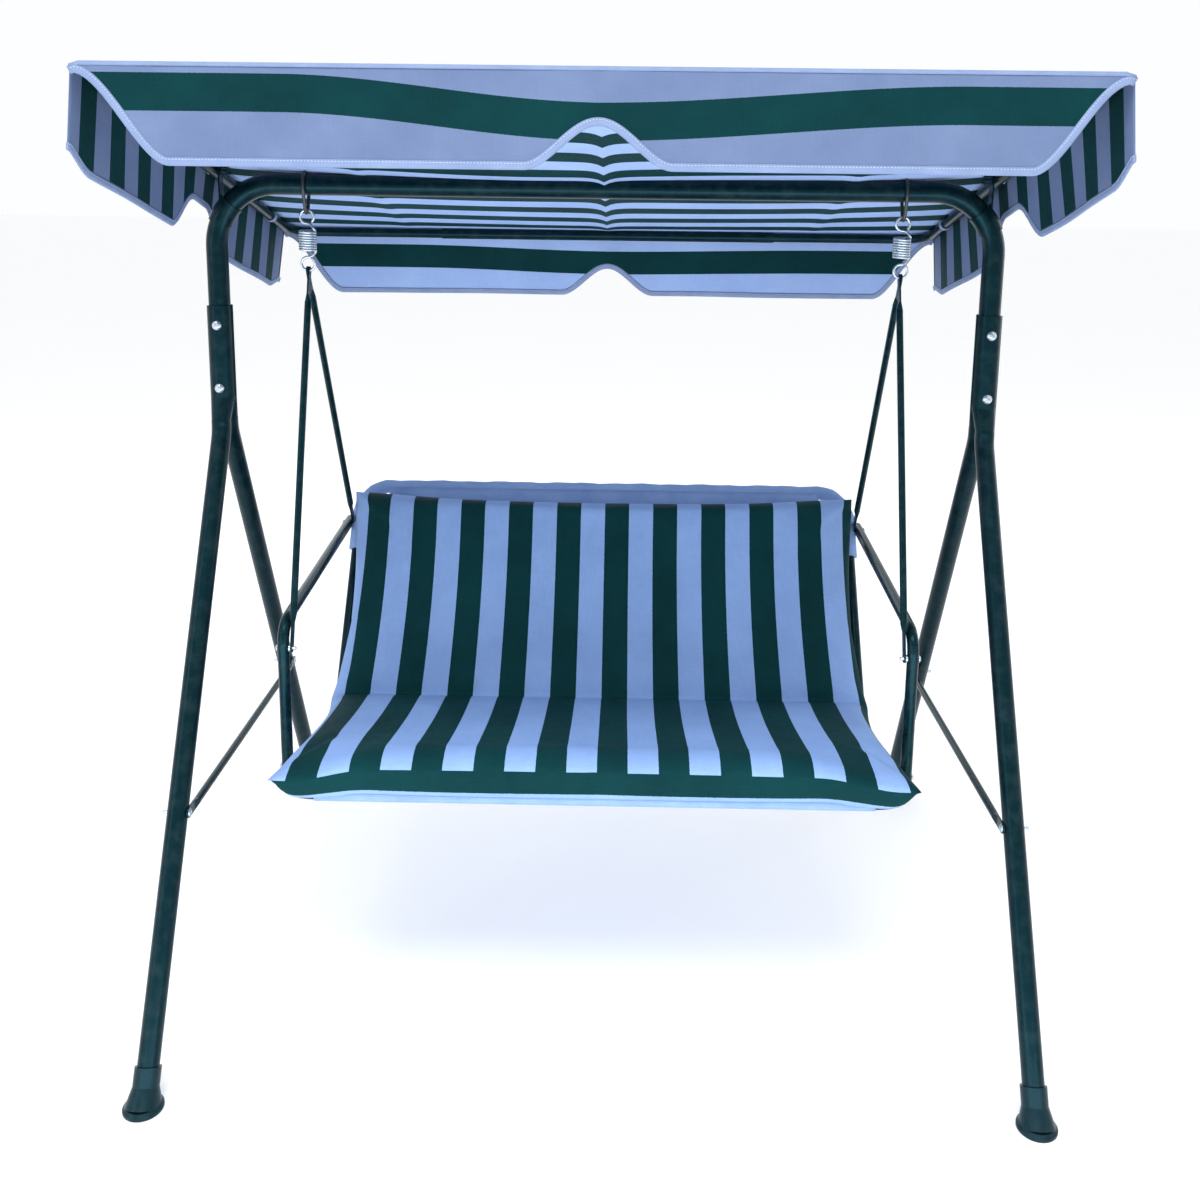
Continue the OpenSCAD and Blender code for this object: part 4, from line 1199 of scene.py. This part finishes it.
side_half = SIDE_FLAP_HALF * math.cos(CANOPY_TILT)
EDGES = {                                       # half length, depth rule, place rule
    "front": (FLAP_HALF, end_depth, lambda t, d: end_place(-1, t, d)),
    "rear": (FLAP_HALF, end_depth, lambda t, d: end_place(1, t, d)),
    "left": (side_half, side_depth, lambda t, d: side_place(-1, t, d)),
    "right": (side_half, side_depth, lambda t, d: side_place(1, t, d)),
}
CUTS = {
    "front": lambda t, d: (min(d - band_start(t), 0.0985), t),
    "rear": lambda t, d: (d + 0.075 - 0.3 * band_start(t), t),
    "left": side_cut,
    "right": side_cut,
}
# The rear flap takes the roof's cloth with its painted light; the front and side flaps take the cloth with
# painted shade.
flaps = {
    key: flap(f"flap_{key}", *rules, CUTS[key], f"valance_{key}", 190 if key in ("front", "rear") else 130,
              finish=canopy_cloth if key == "rear" else flap_cloth_painted_shade)
    for key, rules in EDGES.items()
}
print("flaps:", {k: len(v.data.polygons) for k, v in flaps.items()})

# %% [markdown]
# ## Binding tape and its stitches
# Every scallop is bound with a folded white tape, 11 mm wide, stitched through near its
# inner edge. The tape is a flat loop swept along the flap's edge. The stitches repeat
# along a line, so a tree resamples that line at the stitch length, sets one small
# capsule on each point and turns it along the seam.

# %% Sweep the tape along an edge
def edge_frame(half, depth, place, steps):
    """Points along a flap's lower edge, with the way into the cloth and the way out of its face."""
    rows = []
    for k in range(steps + 1):
        t = half * (2 * k / steps - 1)
        e = 0.002
        here = place(t, depth(t))
        back, ahead = max(t - e, -half), min(t + e, half)
        along = (place(ahead, depth(ahead)) - place(back, depth(back))).normalized()
        inward = place(t, max(depth(t) - 0.006, 0)) - here
        inward = (inward - along * inward.dot(along)).normalized()
        rows.append((here, inward, along.cross(inward).normalized()))
    return rows


def tape(name, rows, wide=0.011):
    profile = ((wide, 0.0011), (wide * 0.55, 0.0016), (0.0012, 0.0015), (-0.0006, 0.0),
               (0.0012, -0.0015), (wide * 0.55, -0.0016), (wide, -0.0011))
    path = [here for here, _, _ in rows]

    def section(k):
        here, inward, face = rows[k]
        pucker = 1 + 0.12 * math.sin(k * 1.7)
        return [here + inward * a + face * (b * pucker) for a, b in profile]

    return swept(name, path, section, binding_tape)


def stitch_tree():
    tree, given, out = node_tree("stitches", [
        ("Pitch", "Float", 0.0042), ("Thread", "Float", 0.0005), ("Finish", "Material", None)])
    curve = put(tree, "GeometryNodeMeshToCurve", Mesh=given.outputs["Geometry"])
    even = put(tree, "GeometryNodeResampleCurve", {"mode": "LENGTH"}, Curve=curve.outputs[0],
               Length=given.outputs["Pitch"])
    tangent = tree.nodes.new("GeometryNodeInputTangent")
    turn = put(tree, "FunctionNodeAlignRotationToVector", {"axis": "Z"}, Vector=tangent.outputs[0])
    drop = put(tree, "GeometryNodeMeshUVSphere", Segments=6, Rings=4, Radius=given.outputs["Thread"])
    long = put(tree, "GeometryNodeTransform", Geometry=drop.outputs[0], Scale=(1, 1, 3.0))
    placed = put(tree, "GeometryNodeInstanceOnPoints", Points=even.outputs[0], Instance=long.outputs[0],
                 Rotation=turn.outputs[0])
    return close_tree(tree, given, out, [placed.outputs[0]])


stitch_tree = stitch_tree()


def stitches(name, paths, pitch, body, thread_r=0.0005):
    """Rows of stitches along polylines, as one piece."""
    points, edges = [], []
    for path in paths:
        first = len(points)
        points += [tuple(p) for p in path]
        edges += [(first + k, first + k + 1) for k in range(len(path) - 1)]
    mesh = bpy.data.meshes.new(name)
    mesh.from_pydata(points, edges, [])
    piece = bpy.data.objects.new(name, mesh)
    scene.collection.objects.link(piece)
    run_tree(piece, stitch_tree, Pitch=pitch, Thread=thread_r, Finish=sewing_thread)
    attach(piece, body)
    return piece


for key, (half, depth, place) in EDGES.items():
    rows = edge_frame(half, depth, place, 260 if key in ("front", "rear") else 200)
    trim = tape(f"binding_{key}", rows)
    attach(trim, "canopy")
    seams = [[here + inward * 0.0082 + face * (side * 0.0016) for here, inward, face in rows]
             for side in (1, -1)]
    sewn = stitches(f"stitches_{key}", seams, 0.0046, "canopy")
    round(cut_area(half, depth), 4)
    print(key, "edge:", len(trim.data.polygons), "tape faces,", len(sewn.data.polygons), "stitch faces")

# %% [markdown]
# ## Loops under the roof, and the seams along its edges
# Eight short loops of webbing, sewn under the roof, go round the side rails. They are
# one shape repeated, so a tree sets them on eight points. A second tape covers the seam
# where each flap joins the roof.

# %% A webbing loop, set eight times
def tie_shape():
    """A band round the rail, pinched together above it, 14 mm wide along Y."""
    turns = np.linspace(0.30, 2 * math.pi - 0.30, 30)
    outline = [(0.0112 * math.sin(a), 0.0112 * math.cos(a)) for a in turns]
    outline = [(0.0016, 0.0128)] + outline + [(-0.0016, 0.0128)]
    points, faces = [], []
    for x, z in outline:
        for y in np.linspace(-0.007, 0.007, 5):
            bulge = 1 + 0.03 * math.sin(90 * x + 300 * y)
            points.append((x * bulge, y, z))
    for k in range(len(outline) - 1):
        for j in range(4):
            a = k * 5 + j
            faces.append((a, a + 1, a + 6, a + 5))
    return points, faces


def tie_tree():
    tree, given, out = node_tree("rail_ties", [
        ("Tie", "Object", None), ("Tilt", "Float", -CANOPY_TILT), ("Finish", "Material", None)])
    shape = put(tree, "GeometryNodeObjectInfo", Object=given.outputs["Tie"], As_Instance=True)
    angles = put(tree, "ShaderNodeCombineXYZ", X=given.outputs["Tilt"])
    turn = put(tree, "FunctionNodeEulerToRotation", i0=angles.outputs[0])
    placed = put(tree, "GeometryNodeInstanceOnPoints", Points=given.outputs["Geometry"],
                 Instance=shape.outputs["Geometry"], Rotation=turn.outputs[0])
    return close_tree(tree, given, out, [placed.outputs[0]])


tie = helper_object("tie_shape", *tie_shape(), binding_tape)
tie_cut = tie.data.uv_layers.new(name="cut")
for loop in tie.data.loops:
    p = tie.data.vertices[loop.vertex_index].co
    tie_cut.data[loop.index].uv = (0.0105 * math.atan2(p.x, p.z), p.y)
tie_spots = [tilt @ Vector((s * SIDE_X, y * 0.505, 0)) for s in (-1, 1) for y in (-0.7, -0.3, 0.3, 0.7)]
ties = piece_from("rail_ties", tie_spots, [], binding_tape)
run_tree(ties, tie_tree(), Tie=tie, Finish=binding_tape)
thicken(ties, 0.0009)
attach(ties, "canopy")
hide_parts("canopy_ties")
print("ties:", len(ties.data.polygons), "faces")


# %% Tape over the roof's seams
def seam_tape(name, path, up, out, wide=0.009):
    """A thin raised strip over the seam between roof and flap."""
    def section(k):
        p = path[k]
        return [p + out * 0.0014 - up * wide * 0.5, p + out * 0.0020 - up * 0.001,
                p + up * 0.0016 + out * 0.0010,
                p + up * 0.0014 - out * wide * 0.5, p + up * 0.0004 - out * wide * 0.5,
                p - out * 0.0003, p + out * 0.0003 - up * wide * 0.5]
    return swept(name, path, section, binding_tape)


def roof_point(x, y):
    return tilt @ Vector((x, y, roof_height(x, y)))


up = (tilt.to_3x3() @ Vector((0, 0, 1))).normalized()
across, along = np.linspace(-ROOF_HALF, ROOF_HALF, 120), np.linspace(-ROOF_LONG, ROOF_LONG, 100)
for name, path, out in (
    ("front", [roof_point(x, -ROOF_LONG) for x in across], (0, -1, 0)),
    ("rear", [roof_point(x, ROOF_LONG) for x in across], (0, 1, 0)),
    ("left", [roof_point(-ROOF_HALF, y) for y in along], (-1, 0, 0)),
    ("right", [roof_point(ROOF_HALF, y) for y in along], (1, 0, 0)),
):
    strip = seam_tape(f"seam_tape_{name}", path, up, Vector(out))
    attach(strip, "canopy")
print("seam tapes made")
